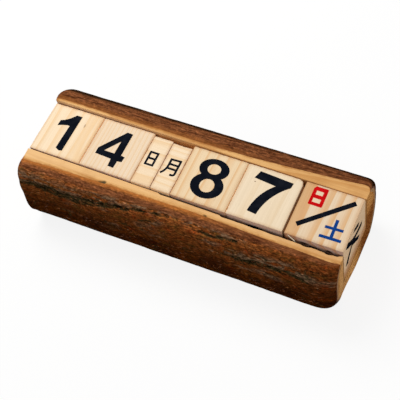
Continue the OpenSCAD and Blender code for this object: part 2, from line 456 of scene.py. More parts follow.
def log_finish(settings, wall_mm):
    """Oiled wood of the log: golden rims with painted light, darker end grain with painted shade next to the
    channel and low at the back, and brown where it meets the bark.
    """
    material, tree, shader = new_material("Log wood")
    plain = place_mm(tree)
    x, y, z = plain.parts()
    place = place_mm(tree, GRAIN_ALONG_X, (-LOG_PITH_DEPTH_MM, 0.0, 0.0))
    rings = {"Place": place, "Ring pitch": LOG_RING_PITCH_MM, "Waver": 5.0, "Seed": 3.0}
    grain = shared(tree, pine_grain, rings)
    outwards = attribute(tree, "inside") * -1.0
    line = shared(tree, bark_line, {"Place": plain, "Distance": outwards})
    marks = shared(tree, wear, {"Place": plain})
    # Painted light: away from the bark, the rim is lighter and more golden towards the left-hand end and the
    # front.
    sunny = calc("MAXIMUM", x.ramp(20.0, -80.0, 0.0, 0.55), y.ramp(0.0, -1.0, 0.0, 0.4))
    sunlit = mixed(y.ramp(-1.0, 1.0), (0.92, 0.60, 0.30), (0.82, 0.59, 0.40))
    pores = cloud(plain * (1.0, 2.3, 0.55), detail=3.0, roughness=0.65)
    endwise = mixed(pores.ramp(0.42, 0.58), (0.58, 0.42, 0.26), (1.56, 1.44, 1.24))
    # Painted shade on the ends of the log, behind the middle and low down, broken up by the pores.
    painted_end_shade = y.ramp(2.0, 12.0) * z.ramp(37.0, 27.0) * pores.ramp(0.62, 0.40, 0.60, 1.0)
    floor_mm = FLOOR_Z / MM
    # Painted shade on the ends along the channel's walls and floor, next to the gaps beside the blocks.
    beside = abs(y).ramp(*(wall_mm + gap for gap in GAP_SHADE_BAND))
    beside = beside * z.ramp(*(floor_mm - gap for gap in GAP_SHADE_BAND))
    end_face = facing(tree, 0)
    base = layered(
        pine_colour(grain, settings.light, settings.dark, late=0.7, fibre=0.3, tone=0.25),
        # Painted light on the rim.
        (sunny * outwards.ramp(-1.0, -3.0), sunlit),
        (line["Amber"] * 0.85, settings.oiled_edge),
        (attribute(tree, "bruise"), (0.10, 0.065, 0.025)),
        # Painted shade on the wall of the channel behind the front rim.
        (attribute(tree, "channel"), (0.045, 0.015, 0.005)),
        (end_face * y.ramp(-12.0, -24.0, 0.95, 0.55), endwise, "MULTIPLY"),
        # Painted shade low on the ends.
        (end_face * painted_end_shade, (0.28, 0.12, 0.025), "MULTIPLY"),
        # Painted shade along the channel on the ends.
        (end_face * beside, (0.20, 0.11, 0.05), "MULTIPLY"),
        (end_face * grain["Late wood"] * 0.75, (0.66, 0.50, 0.34), "MULTIPLY"),
        (marks["Smudge"] * 0.35, (0.70, 0.55, 0.42), "MULTIPLY"),
    )
    rough = grain["Fibres"].ramp(0.0, 1.0, 0.42, 0.58)
    height = grain["Height"] + marks["Height"] * 0.3
    dress(shader, base, rough, end_face.ramp(0.0, 1.0, 0.03, 0.0), height, 0.35, 0.25)
    return material


CREAM = ((0.95, 0.77, 0.555), (0.87, 0.60, 0.33))
PALE = ((0.91, 0.755, 0.555), (0.82, 0.62, 0.39))
PEACH = ((0.85, 0.69, 0.50), (0.76, 0.44, 0.20))
WHEAT = ((0.885, 0.715, 0.535), (0.82, 0.56, 0.31))
HONEY = ((0.88, 0.69, 0.455), (0.78, 0.47, 0.22))

# Grain of each block, in millimetres. The pith is given from the block's middle: across the top, then
# downwards. Colours are the early and the late wood. A spot is a knot or a fleck in the top: its place, its
# half width and half length, and how dark it is. A gap side has painted shade along its edges, for the dark
# gap
# to the next block: 1 is the right side and -1 the left side. Gap shadows are black spots of painted shadow
# on the front, at one depth under the top, for the dark gap between the front and the rim: their place from
# the left side, and their half length.
GAP_SHADOW_DEPTH_MM = 4.7
BLOCK_GRAIN = {
    "number_cube_1": dict(
        pith=(38.0, 46.0), pitch=4.6, waver=5.0, late=0.8, share=0.5, colours=CREAM,
        spot=((8.3, 7.8), (0.55, 1.7), 0.5),
    ),
    "number_cube_2": dict(pith=(-90.0, 12.0), pitch=2.5, waver=6.5, late=0.7, share=0.38, colours=WHEAT),
    "day_tile": dict(pith=(-46.0, 40.0), pitch=5.5, waver=6.0, late=0.75, share=0.45, colours=CREAM),
    "month_tile": dict(pith=(-52.0, 30.0), pitch=3.6, waver=5.0, late=0.75, share=0.45, colours=CREAM),
    "number_cube_3": dict(pith=(42.0, 40.0), pitch=3.3, waver=6.0, late=0.75, share=0.45, colours=HONEY),
    "number_cube_4": dict(
        pith=(-12.0, 75.0), pitch=4.0, waver=7.0, late=0.5, share=0.45, colours=PALE,
        spot=((-9.5, 7.2), (0.45, 0.45), 0.95), gap_side=1,
    ),
    "weekday_cube": dict(
        pith=(-67.4, 34.0), pitch=6.4, waver=5.0, late=0.85, share=0.7, colours=PEACH,
        gap_side=-1, gap_shadows=[(12.2, 3.4), (26.6, 2.3)],
    ),
}


def spot_mask(tree, place, half_size, strength):
    """1 in the middle of a spot in a block, and 0 past its size. Places are in millimetres."""
    away = (place_mm(tree) - place) * tuple(1 / half for half in half_size)
    return calc("LENGTH", away, result="Value").ramp(1.2, 0.4) * strength


def block_finish(name, seed):
    """Bare sanded pine of one block, with its own grain, darker edges and end grain, and painted light and
    shade on its faces and beside its gaps.
    """
    material, tree, shader = new_material("Pine of " + name)
    looks = BLOCK_GRAIN[name]
    low, high = (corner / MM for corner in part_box(name))
    middle = (low + high) / 2
    across, down = looks["pith"]
    plain = place_mm(tree)
    if name in TILES:
        place = place_mm(tree, GRAIN_ALONG_X, (middle.z - down, -middle.y - across, 0.0))
        end_axis = 0
    else:
        place = place_mm(tree, GRAIN_ALONG_Y, (-middle.x - across, middle.z - down, 0.0))
        end_axis = 1
    rings = {"Ring pitch": looks["pitch"], "Waver": looks["waver"], "Late share": looks["share"]}
    grain = shared(tree, pine_grain, {"Place": place, "Seed": float(seed), **rings})
    marks = shared(tree, wear, {"Place": plain})
    edge = attribute(tree, "edge")
    base = layered(
        pine_colour(grain, *looks["colours"], late=looks["late"], fibre=0.22, tone=0.18),
        # End grain is darker wood, and the mauve tint of this colour is painted shade.
        (facing(tree, end_axis) * 0.9, (0.79, 0.70, 0.84), "MULTIPLY"),
        (edge * marks["Height"].ramp(0.3, 0.7, 0.2, 0.5), (0.70, 0.50, 0.34), "MULTIPLY"),
        # Painted light: the upright faces along the grain get their own warmer, more orange colour, set to
        # how they are lit.
        (facing(tree, 1 - end_axis) * 0.8, (0.99, 0.67, 0.385)),
    )
    # Painted shade by the side that faces a dark gap to the next block.
    if "gap_side" in looks:
        x, _, z = plain.parts()
        away = abs(x - (high.x if looks["gap_side"] > 0 else low.x))
        # On the weekday cube, painted shade makes the faces along the row darker towards the bottom, by the
        # channel floor. All its faces are also darker near its left side.
        if name == WEEKDAY:
            base = layered(
                base,
                (facing(tree, 0) * z.ramp(31.0, 21.0), (0.66, 0.48, 0.35), "MULTIPLY"),
                (away.ramp(10.0, 2.5, 0.0, 0.9), (0.87, 0.68, 0.47), "MULTIPLY"),
            )
        # Painted shade on the edges of that side, for the dark gap between it and the next block.
        base = mixed(edge * away.ramp(0.9, 0.3, 0.0, 0.95), base, (0.085, 0.028, 0.010))
    if "spot" in looks:
        (across, along), half_size, strength = looks["spot"]
        place = (middle.x + across, middle.y + along, high.z)
        base = mixed(spot_mask(tree, place, (*half_size, 2.0), strength), base, (0.14, 0.06, 0.03))
    # Black spots of painted shadow on the front, for the dark gap between the front and the rim.
    for along, half_length in looks.get("gap_shadows", []):
        place = (low.x + along, low.y, high.z - GAP_SHADOW_DEPTH_MM)
        base = mixed(spot_mask(tree, place, (half_length, 2.0, 1.3), 0.97), base, (0.012, 0.005, 0.003))
    dress(shader, base, grain["Late wood"].ramp(0.0, 1.0, 0.62, 0.48), 0.05, grain["Height"], 0.3, 0.2)
    return material


def bark_finish(settings):
    """Varnished bark: amber by the rim, grey scales beside green-black furrows, and red brown below."""
    material, tree, shader = new_material("Bark")
    plain = place_mm(tree)
    x, y, _ = plain.parts()
    across, rise, furrow, sawn, up, scaly, scale = (
        attribute(tree, name) for name in ("across", "rise", "furrow", "sawn", "up", "scaly", "scale")
    )
    flat = gather(x, across, calc("SIGN", y))
    fibres = cloud(flat * (0.30, 0.85, 40.0), detail=5.0, roughness=0.7)
    specks = cloud(flat * (0.60, 1.30, 71.0), detail=2.0, roughness=0.5)
    grit = cloud(flat * (0.50, 1.25, 40.0), detail=4.0, roughness=0.72)
    streaks = cloud(flat * (0.09, 0.95, 23.0), detail=5.0, roughness=0.65)
    patches = cloud(flat * (0.05, 0.15, 40.0), detail=3.0, roughness=0.6)
    hues = cloud(flat * (0.11, 0.24, 17.0), detail=4.0, roughness=0.62)
    behind = y.ramp(-1.0, 1.0)

    # Broad colours, from the rim down to the base.
    level = rise + (patches - 0.5) * 0.5
    base = layered(
        mixed(patches.ramp(0.62, 0.45), settings.lower, (0.040, 0.009, 0.002)),
        (level.ramp(0.40, 0.85), settings.ridge),
        (level.ramp(0.86, 1.04) * (1.0 - behind) * x.ramp(10.0, 60.0, 1.0, 0.55), settings.sanded),
        (hues.ramp(0.53, 0.70), (1.22, 0.80, 0.68), "MULTIPLY"),
        (hues.ramp(0.47, 0.34), (0.80, 1.12, 1.10), "MULTIPLY"),
        (x.ramp(62.0, 90.0), (0.74, 0.68, 0.66), "MULTIPLY"),
        # Painted shade where the bark faces downwards, under its belly.
        (up.ramp(-0.20, -0.40) * patches.ramp(0.35, 0.55, 0.4, 1.0) * 0.8, settings.hollow),
    )

    # Weathered scales above the furrows, and the green-black furrows themselves, with painted shade in their
    # deepest part.
    greyed = scaly * scale.ramp(0.25, 0.6) * fibres.ramp(0.36, 0.55, 0.35, 0.95)
    greyed = greyed * rise.ramp(0.3, 0.7, 0.3, 1.0)
    base = layered(
        base,
        (greyed, settings.weathered),
        (furrow.ramp(0.1, 0.6, 0.0, 0.9), settings.moss),
        (furrow.ramp(0.75, 1.0, 0.0, 0.9), settings.hollow),
    )

    # The back is sawn nearly flat at its top, and its outer edge, where the surface rolls away, takes painted
    # shade. The rim is clean and amber.
    flat_top = mixed(streaks.ramp(0.36, 0.62), (0.085, 0.024, 0.008), (0.225, 0.078, 0.029))
    flat_top = mixed(patches.ramp(0.58, 0.70, 0.0, 0.75), flat_top, (0.060, 0.015, 0.006))
    rolled_away_shade = up.ramp(0.86, 0.70) * up.ramp(0.15, 0.40) * behind * patches.ramp(0.34, 0.46)
    line = shared(tree, bark_line, {"Place": plain, "Distance": across})
    clean = (1.0 - line["Brown"]) * (1.0 - behind * 0.55) * x.ramp(0.0, 48.0, 1.0, 0.08)
    base = layered(base, (sawn, flat_top), (rolled_away_shade * 0.92, settings.hollow), (clean, settings.amber))

    # Fibres and grit make it lighter and darker again.
    strength = across.ramp(0.0, 3.0, 0.4, 1.0) * sawn.ramp(0.0, 1.0, 1.0, 0.6)
    light = fibres.ramp(0.36, 0.64, 0.42, 1.7) * grit.ramp(0.40, 0.60, 0.66, 1.38)
    light = light * specks.ramp(0.60, 0.68, 1.0, 0.40) * specks.ramp(0.39, 0.31, 1.0, 1.75)
    base = base * (1.0 + (light - 1.0) * strength)
    marks = shared(tree, wear, {"Place": plain, "Smudge size": 6.0, "Dust size": 0.55})
    base = mixed(marks["Dust"] * rise.ramp(0.2, 0.95, 0.45, 1.0) * 0.42, base, (0.42, 0.20, 0.08))
    rough = (furrow + fibres * 0.5).ramp(0.2, 1.2, 0.42, 0.8)
    dress(shader, base, rough, 0.0, (fibres + grit * 0.6) * sawn.ramp(0.0, 1.0, 1.0, 0.4), 0.6, 0.6)
    return material


def chip_finish(settings):
    """Thin chips of bark: dark, orange brown or weathered pale, with a little gloss."""
    material, tree, shader = new_material("Bark chips")
    place = place_mm(tree)
    patches = cloud(place * (0.45, 0.7, 0.7), detail=3.0, roughness=0.7)
    base = layered(
        settings.lower,
        (patches.ramp(0.40, 0.50), settings.sanded),
        (patches.ramp(0.52, 0.60), settings.amber),
        (patches.ramp(0.60, 0.68), (0.30, 0.19, 0.115)),
    )
    marks = shared(tree, wear, {"Place": place, "Dust size": 0.3})
    dress(shader, base, marks["Height"].ramp(0.3, 0.7, 0.3, 0.6), 0.06, patches, 0.4, 0.2)
    return material


def cut_bark_finish(settings):
    """Sawn ends and underside of the bark: golden bast inside, and dull brown with fine layers outside."""
    material, tree, shader = new_material("Cut bark")
    place = place_mm(tree)
    layers = cloud(place * (0.2, 1.3, 0.5), detail=4.0, roughness=0.7)
    brown = mixed(layers.ramp(0.3, 0.7), settings.lower, (0.13, 0.048, 0.016))
    bast = mixed(layers.ramp(0.35, 0.65), (0.38, 0.19, 0.07), (0.54, 0.30, 0.13))
    marks = shared(tree, wear, {"Place": place, "Smudge size": 4.0})
    outermost = (attribute(tree, "lift") + layers * 0.3).ramp(0.62, 0.92)
    base = layered(bast, (outermost, brown), (marks["Dust"] * 0.2, (0.25, 0.12, 0.05)))
    dress(shader, base, 0.7, 0.03, layers, 0.5, 0.4)
    return material


def ink_finish(name, shade):
    """Printed ink that lets a little of the grain through and shines softly."""
    material, tree, shader = new_material(name)
    marks = shared(tree, wear, {"Place": place_mm(tree), "Smudge size": 5.0, "Dust size": 0.5})
    lifted = tuple(min(1.0, part * 1.4 + 0.006) for part in shade)
    base = layered(shade, (marks["Smudge"] * 0.6, lifted), (marks["Dust"] * 0.3, lifted))
    dress(shader, base, marks["Height"].ramp(0.2, 0.8, 0.42, 0.6), 0.0, marks["Height"], 0.15, 0.1)
    return material


def splinter_finish():
    """Fresh pale wood fibre."""
    material, tree, shader = new_material("Splinter")
    marks = shared(tree, wear, {"Place": place_mm(tree), "Smudge size": 1.5})
    base = mixed(marks["Smudge"], (0.95, 0.86, 0.68), (0.78, 0.60, 0.38))
    dress(shader, base, 0.6, 0.5, marks["Height"], 0.3, 0.1)
    return material


# ----------------------------------------------------------
# Meshes
# ----------------------------------------------------------


def add_object(name, mesh, materials):
    """A new object at the origin, with its materials."""
    made = bpy.data.objects.new(name, mesh)
    bpy.context.scene.collection.objects.link(made)
    mesh.materials.clear()
    for material in materials:
        mesh.materials.append(material)
    return made


def mesh_from(name, points, faces):
    """A mesh from points and faces, with its faces turned outwards."""
    mesh = bpy.data.meshes.new(name)
    mesh.from_pydata([tuple(point) for point in points], [], faces)
    work = bmesh.new()
    work.from_mesh(mesh)
    bmesh.ops.recalc_face_normals(work, faces=work.faces)
    work.to_mesh(mesh)
    work.free()
    return mesh


def store(mesh, name, values, kind="FLOAT"):
    """Keeps one value for each point of a mesh under a name."""
    layer = mesh.attributes.new(name, kind, "POINT")
    layer.data.foreach_set("value" if kind == "FLOAT" else "vector", np.ravel(values).astype(np.float32))


def smooth_shade(mesh, sharp_degrees=50.0):
    """Smooth shading, apart from edges that turn more than an angle."""
    mesh.shade_smooth()
    mesh.set_sharp_from_angle(angle=math.radians(sharp_degrees))


def shape_with_nodes(made, tree, values):
    """Runs a geometry tree on an object and keeps the result as its plain mesh."""
    modifier = made.modifiers.new(tree.name, "NODES")
    modifier.node_group = tree
    for item in tree.interface.items_tree:
        if item.item_type == "SOCKET" and item.in_out == "INPUT" and item.name in values:
            modifier[item.identifier] = values[item.name]
    depsgraph = bpy.context.evaluated_depsgraph_get()
    before = made.data
    after = bpy.data.meshes.new_from_object(
        made.evaluated_get(depsgraph), preserve_all_data_layers=True, depsgraph=depsgraph
    )
    made.modifiers.clear()
    made.data = after
    after.name = made.name
    if before.users == 0:
        bpy.data.meshes.remove(before)
    return made


def smoothed(lines, sigma, axis):
    """A grid of points blurred along one axis. Both ends stay where they are."""
    reach = int(3 * sigma)
    weights = np.exp(-0.5 * (np.arange(-reach, reach + 1) / sigma) ** 2)
    weights /= weights.sum()
    moved = np.moveaxis(lines, axis, 0)
    before = 2 * moved[:1] - moved[reach:0:-1]
    after = 2 * moved[-1:] - moved[-2 : -reach - 2 : -1]
    padded = np.concatenate([before, moved, after])
    blurred = sum(weight * padded[i : i + len(moved)] for i, weight in enumerate(weights))
    return np.moveaxis(blurred, 0, axis)


def filled(values, reach):
    """Rows of values with dips narrower than twice the reach filled in."""
    for pick in (np.max, np.min):
        padded = np.pad(values, ((0, 0), (reach, reach)), mode="edge")
        values = pick([padded[:, k : k + values.shape[1]] for k in range(2 * reach + 1)], axis=0)
    return values


def respaced(line, count):
    """A line of points, spaced evenly along its own length."""
    steps = np.hypot(*np.diff(line, axis=0).T)
    run = np.concatenate([[0.0], np.cumsum(steps)])
    wanted = np.linspace(0.0, run[-1], count)
    return np.stack([np.interp(wanted, run, line[:, k]) for k in (0, 1)], axis=1)


def bend(start, middle, end, count=12):
    """Points of a curve that leaves start towards middle and comes to end."""
    shares = np.linspace(0.0, 1.0, count)[:, None]
    start, middle, end = (np.array(point, float) for point in (start, middle, end))
    curve = (1 - shares) ** 2 * start + 2 * shares * (1 - shares) * middle + shares**2 * end
    return [tuple(point) for point in curve]


def eased(value, low, high):
    """0 below low, 1 above high, and smooth between. It works on numbers and on arrays."""
    share = np.clip((value - low) / (high - low), 0.0, 1.0)
    return share * share * (3 - 2 * share)


# ----------------------------------------------------------
# The shape of the log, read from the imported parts
# ----------------------------------------------------------

OUTER_RAYS = 170
INNER_POINTS = 26
FAR_OUT = 90 * MM
CENTRE_IN = 1 * MM
CENTRE_UP = 2 * MM
JUST_INSIDE = 0.02 * MM
RIM_BAND = 4 * MM
FURROW_REACH = 6
LEAST_RIM = 1.2 * MM

# How far the bark stands out at the lower left-hand corner of the front.
CORNER_SWELL = 1.4 * MM

# How far the lower front corner of the right-hand end is sawn back, how much of the log's length this takes,
# and where it begins and is full: up the end, and across it.
END_SLANT = 1.1 * MM
SLANT_LENGTH = 9 * MM
SLANT_HEIGHT = (20 * MM, 4 * MM)
SLANT_ACROSS = (4 * MM, -18 * MM)

# How far the upper edge of the bark is sanded: place along the log, and the shift of the edge towards the
# channel, or down the side where it is negative, in millimetres.
EDGE_SHIFT = {
    FRONT: [(-100, 0.5), (-75, 1.2), (10, 1.2), (32, 0.2), (48, -0.8), (62, -1.5), (75, -1.8), (90, -2.6)]
    + [(100, -3.9)],
    BACK: [(-100, 0.5), (-75, 1.1), (-49, 1.7), (-23, 1.9), (3, 2.6), (30, 2.5), (55, 1.4), (80, 0.2)]
    + [(92, -0.6), (101, -1.8)],
}
LEAST_BARK = 0.8 * MM
END_REACH = 13 * MM
END_SECTIONS = 34


def target_of(node):
    """A tree that rays can be cast at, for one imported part."""
    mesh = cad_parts[node].data
    corners = [corner.co.copy() for corner in mesh.vertices]
    return BVHTree.FromPolygons(corners, [tuple(face.vertices) for face in mesh.polygons])


def section_places(section_step):
    """Places of the sections along X. They crowd towards both ends, where the log is rounded."""
    crowd = END_REACH * (1 - np.cos(np.pi / 2 * np.arange(END_SECTIONS) / END_SECTIONS))
    inner = HALF_LOG - END_REACH
    middle = np.linspace(-inner, inner, int(round(2 * inner / section_step)) + 1)
    return np.concatenate([crowd - HALF_LOG, middle, (HALF_LOG - crowd)[::-1]])


class LogShape:
    """Sections of the log: for each side, the line over the bark and the line where bark and wood meet.

    A line is a row of pairs, distance from the middle of the channel and height, from the rim to the base.
    """

    def __init__(self, section_step, profile_step):
        self.places = section_places(section_step)
        self.log = target_of("tray_log")
        self.wall = self.log.ray_cast(Vector((0, 0, FLOOR_Z + 15 * MM)), Vector((0, 1, 0)))[0].y
        self.outer = {}
        self.inner = {}
        self.rim_edge = {}
        for side, node in ((FRONT, "bark_front"), (BACK, "bark_back")):
            self.read_side(side, target_of(node), profile_step)

    def read_side(self, side, bark, profile_step):
        """Reads the lines of one side at every section."""
        outer, inner, edge = [], [], []
        furthest = HALF_LOG - JUST_INSIDE
        for x in self.places:
            lines = self.section(float(np.clip(x, -furthest, furthest)), side, bark)
            outer.append(lines[0])
            inner.append(lines[1])
            edge.append(lines[2])
        longest = max(np.hypot(*np.diff(line, axis=0).T).sum() for line in outer)
        count = int(longest / profile_step) + 1
        outer = self.without_furrows(np.array([respaced(line, count) for line in outer]))
        inner = np.array([respaced(line, INNER_POINTS) for line in inner])
        self.outer[side] = smoothed(smoothed(outer, 4.0, axis=1), 3.0, axis=0)
        self.inner[side] = smoothed(smoothed(inner, 1.0, axis=1), 3.0, axis=0)
        self.inner[side] = self.under_bark(self.inner[side], self.outer[side])
        self.rim_edge[side] = np.array(edge)

    def without_furrows(self, outer):
        """The outer lines, with the furrows filled in. Next to the rim they stay as they are."""
        centre = np.array([self.wall + CENTRE_IN, FLOOR_Z + CENTRE_UP])
        arms = outer - centre
        reach = np.linalg.norm(arms, axis=2)
        full = filled(reach, FURROW_REACH)
        share = eased(np.arange(outer.shape[1]), FURROW_REACH, 2 * FURROW_REACH)
        return centre + arms * (1 + share * (full / reach - 1))[..., None]

    def under_bark(self, inner, outer):
        """The inner lines, moved inwards where the bark would be too thin. They start at the rim."""
        centre = np.array([self.wall + CENTRE_IN, FLOOR_Z + CENTRE_UP])
        thin = LEAST_BARK * eased(np.arange(INNER_POINTS), 0, 4)
        moved = np.empty_like(inner)
        for index, (under, over) in enumerate(zip(inner - centre, outer - centre)):
            turns = -np.arctan2(over[:, 1], over[:, 0])
            limit = np.interp(-np.arctan2(under[:, 1], under[:, 0]), turns, np.hypot(*over.T))
            reach = np.hypot(*under.T)
            share = np.minimum(reach, limit - thin) / reach
            moved[index] = centre + under * share[:, None]
        moved[:, 0] = outer[:, 0]
        moved[:, -1, 1] = 0.0
        return moved

    def section(self, x, side, bark):
        """The two lines and the height of the rim's inner edge, at x on one side."""

        def hit(target, away, height, outwards, upwards):
            start = Vector((x, side * away, height))
            place = target.ray_cast(start, Vector((0, side * outwards, upwards)))[0]
            return None if place is None else (abs(place.y), place.z)

        edge = hit(self.log, self.wall + JUST_INSIDE, FAR_OUT, 0, -1)[1]
        low = self.wall
        high = hit(bark, FAR_OUT, edge - RIM_BAND, -1, 0)[0] - JUST_INSIDE
        for _ in range(16):
            middle = (low + high) / 2
            top = hit(bark, middle, FAR_OUT, 0, -1)
            if top is None or top[1] < edge - RIM_BAND:
                low = middle
            else:
                high = middle
        high = max(high, self.wall + LEAST_RIM)
        rim = (high, hit(bark, high, FAR_OUT, 0, -1)[1])
        away, up = self.wall + CENTRE_IN, FLOOR_Z + CENTRE_UP
        base_out = (hit(bark, FAR_OUT, JUST_INSIDE, -1, 0)[0], 0.0)
        base_in = (hit(bark, away, JUST_INSIDE, 1, 0)[0], 0.0)

        def sweep(last, count, inwards):
            first_angle = math.atan2(rim[1] - up, rim[0] - away)
            last_angle = math.atan2(last[1] - up, last[0] - away)
            line = [rim]
            for turn in np.linspace(first_angle, last_angle, count)[1:-1]:
                out, rise = math.cos(turn), math.sin(turn)
                if inwards:
                    found = hit(bark, away + FAR_OUT * out, up + FAR_OUT * rise, -out, -rise)
                else:
                    found = hit(bark, away, up, out, rise)
                if found is not None:
                    line.append(found)
            line.append(last)
            return np.array(line)

        shift = float(np.interp(x / MM, *zip(*EDGE_SHIFT[side]))) * MM
        outer, inner = sweep(base_out, OUTER_RAYS, True), sweep(base_in, 2 * INNER_POINTS, False)
        return *self.with_edge_moved(outer, inner, edge, shift), edge

    def with_edge_moved(self, outer, inner, edge, shift):
        """Both lines with their first point on the rim, moved towards the channel or down the side."""
        rim = outer[0]
        if shift > 0:
            away = max(rim[0] - shift, self.wall + LEAST_RIM)
            share = (away - self.wall) / (rim[0] - self.wall)
            start = np.array([away, edge + share * (rim[1] - edge)])
            return np.vstack([start, outer]), np.vstack([start, inner[1:]])
        run = np.concatenate([[0.0], np.cumsum(np.hypot(*np.diff(outer, axis=0).T))])
        start = np.array([np.interp(-shift, run, outer[:, k]) for k in (0, 1)])
        outer = np.vstack([start, outer[run > -shift + JUST_INSIDE]])
        return outer, np.vstack([start, inner[inner[:, 1] < start[1] - LEAST_BARK]])

    def in_space(self, lines, side):
        """Points in space for lines of one side."""
        x = np.broadcast_to(self.places[:, None], lines.shape[:2])
        return np.stack([x, side * lines[..., 0], lines[..., 1]], axis=-1)


def eased_ends(rings, places, radius, shares):
    """Rings of points with the edges at both ends of the log rounded over, each point by its own share."""
    turned = np.roll(rings, -1, axis=1) - np.roll(rings, 1, axis=1)
    inwards = np.stack([-turned[..., 1], turned[..., 0]], axis=-1)
    inwards /= np.maximum(np.linalg.norm(inwards, axis=-1, keepdims=True), 1e-12)
    area = np.sum(rings[:, :, 0] * np.roll(rings[:, :, 1], -1, axis=1), axis=1)
    area -= np.sum(rings[:, :, 1] * np.roll(rings[:, :, 0], -1, axis=1), axis=1)
    inwards *= np.sign(area)[:, None, None]
    short = np.clip(1 - (HALF_LOG - np.abs(places)) / radius, 0.0, 1.0)
    inset = radius * (1 - np.sqrt(1 - short**2))
    return rings + inwards * inset[:, None, None] * shares[:, None]


def slant_end(mesh):
    """Moves the lower front corner of the log's right-hand end inwards, as the saw left it."""
    places = np.zeros(3 * len(mesh.vertices))
    mesh.vertices.foreach_get("co", places)
    places = places.reshape(-1, 3)
    share = eased(places[:, 0], HALF_LOG - SLANT_LENGTH, HALF_LOG) * eased(places[:, 2], *SLANT_HEIGHT)
    places[:, 0] -= END_SLANT * share * eased(places[:, 1], *SLANT_ACROSS)
    mesh.vertices.foreach_set("co", places.ravel())


def cap_of(ring, spacing):
    """A flat cover for a closed ring, with points inside it. Returns the added points and the faces."""
    low, high = ring.min(axis=0), ring.max(axis=0)
    rows = np.arange(low[1] + spacing / 2, high[1], spacing)
    inside = []
    for number, height in enumerate(rows):
        crossings = []
        for (y0, z0), (y1, z1) in zip(ring, np.roll(ring, -1, axis=0)):
            if (z0 > height) != (z1 > height):
                crossings.append(y0 + (height - z0) / (z1 - z0) * (y1 - y0))
        crossings.sort()
        for start, end in zip(crossings[::2], crossings[1::2]):
            shift = spacing / 2 if number % 2 else 0.0
            for y in np.arange(start + spacing / 2 + shift, end - spacing / 2, spacing):
                inside.append((y, height))
    points = [Vector(p) for p in ring] + [Vector(p) for p in inside]
    edges = [(i, (i + 1) % len(ring)) for i in range(len(ring))]
    found = delaunay_2d_cdt(points, edges, [list(range(len(ring)))], 1, 1e-9)
    given = np.array(points)
    where = [
        origins[0] if origins else int(np.argmin(np.linalg.norm(given - np.array(point), axis=1)))
        for point, origins in zip(found[0], found[3])
    ]
    faces = [[where[i] for i in face] for face in found[2]]
    return np.array(inside).reshape(-1, 2), faces


def tube_mesh(name, rings, places, spacing, marks):
    """A closed solid through rings of points, with a cover on both ends.

    Marks maps a name to values for the points of the rings. Returns the mesh and the number of side faces.
    """
    sections, around = rings.shape[:2]
    points = [(x, *p) for x, ring in zip(places, rings) for p in ring]
    values = {key: list(np.ravel(value)) for key, value in marks.items()}
    faces = []
    for i in range(sections - 1):
        for k in range(around):
            a, b = i * around + k, i * around + (k + 1) % around
            faces.append((a, b, b + around, a + around))
    sides = len(faces)
    for i in (0, sections - 1):
        inside, cover = cap_of(rings[i], spacing)
        start = len(points)
        points.extend((places[i], *p) for p in inside)
        for key in values:
            ring_values = values[key][i * around : (i + 1) * around]
            nearest = [int(np.argmin(np.sum((rings[i] - p) ** 2, axis=1))) for p in inside]
            values[key].extend(ring_values[k] for k in nearest)
        faces.extend([v + start - around if v >= around else v + i * around for v in face] for face in cover)
    mesh = mesh_from(name, points, faces)
    for key, value in values.items():
        store(mesh, key, value)
    return mesh, sides


# ----------------------------------------------------------
# Pieces of the log
# ----------------------------------------------------------

RIM_POINTS = 18
WALL_POINTS = 18
FLOOR_POINTS = 14
BASE_POINTS = 22
EASE_POINTS = 5
WOOD_CAP_SPACING = 1.5 * MM
BARK_CAP_SPACING = 30 * MM
DEEP_INSIDE_MM = 20.0

# Small bruises in the front rim: place along the log, distance from the bark, and length, in millimetres.
RIM_BRUISES = [(-46.9, -0.1, 2.9), (-45.4, 1.0, 2.0), (20.0, 0.2, 1.7)]
BRUISE_DEPTH = 0.6 * MM

# Bites out of the front rim's inner edge: start and end along the log, and depth, in millimetres.
RIM_BITES = [(-12.0, 29.0, 0.6), (27.0, 100.0, 1.3), (76.5, 83.0, 0.4), (90.0, 95.5, 0.4)]
BITE_REACH = 7 * MM

# Painted shade on the wall of the channel behind the front rim, for the dark gap in front of the blocks:
# place along the log in millimetres, and how strong it is as a share.
CHANNEL_SHADE = [(24, 1.0), (36, 0.82), (73, 0.82), (77, 1.0), (83, 0.9), (89, 0.9), (92, 1.0), (97, 0.82)]


def rim_sink(x, away, share, settings):
    """How far the rim of one side lies under its plane, in soft waves. Share is 0 at the bark."""
    wave = noise.noise(Vector((x * 30, away * 260, 4.2)))
    wave += 0.6 * noise.noise(Vector((x * 110, away * 500, 7.1)))
    window = eased(share, 0.0, 0.2) * eased(share, 1.0, 0.8)
    return settings.rim_swell * window * (0.5 + 0.6 * wave)


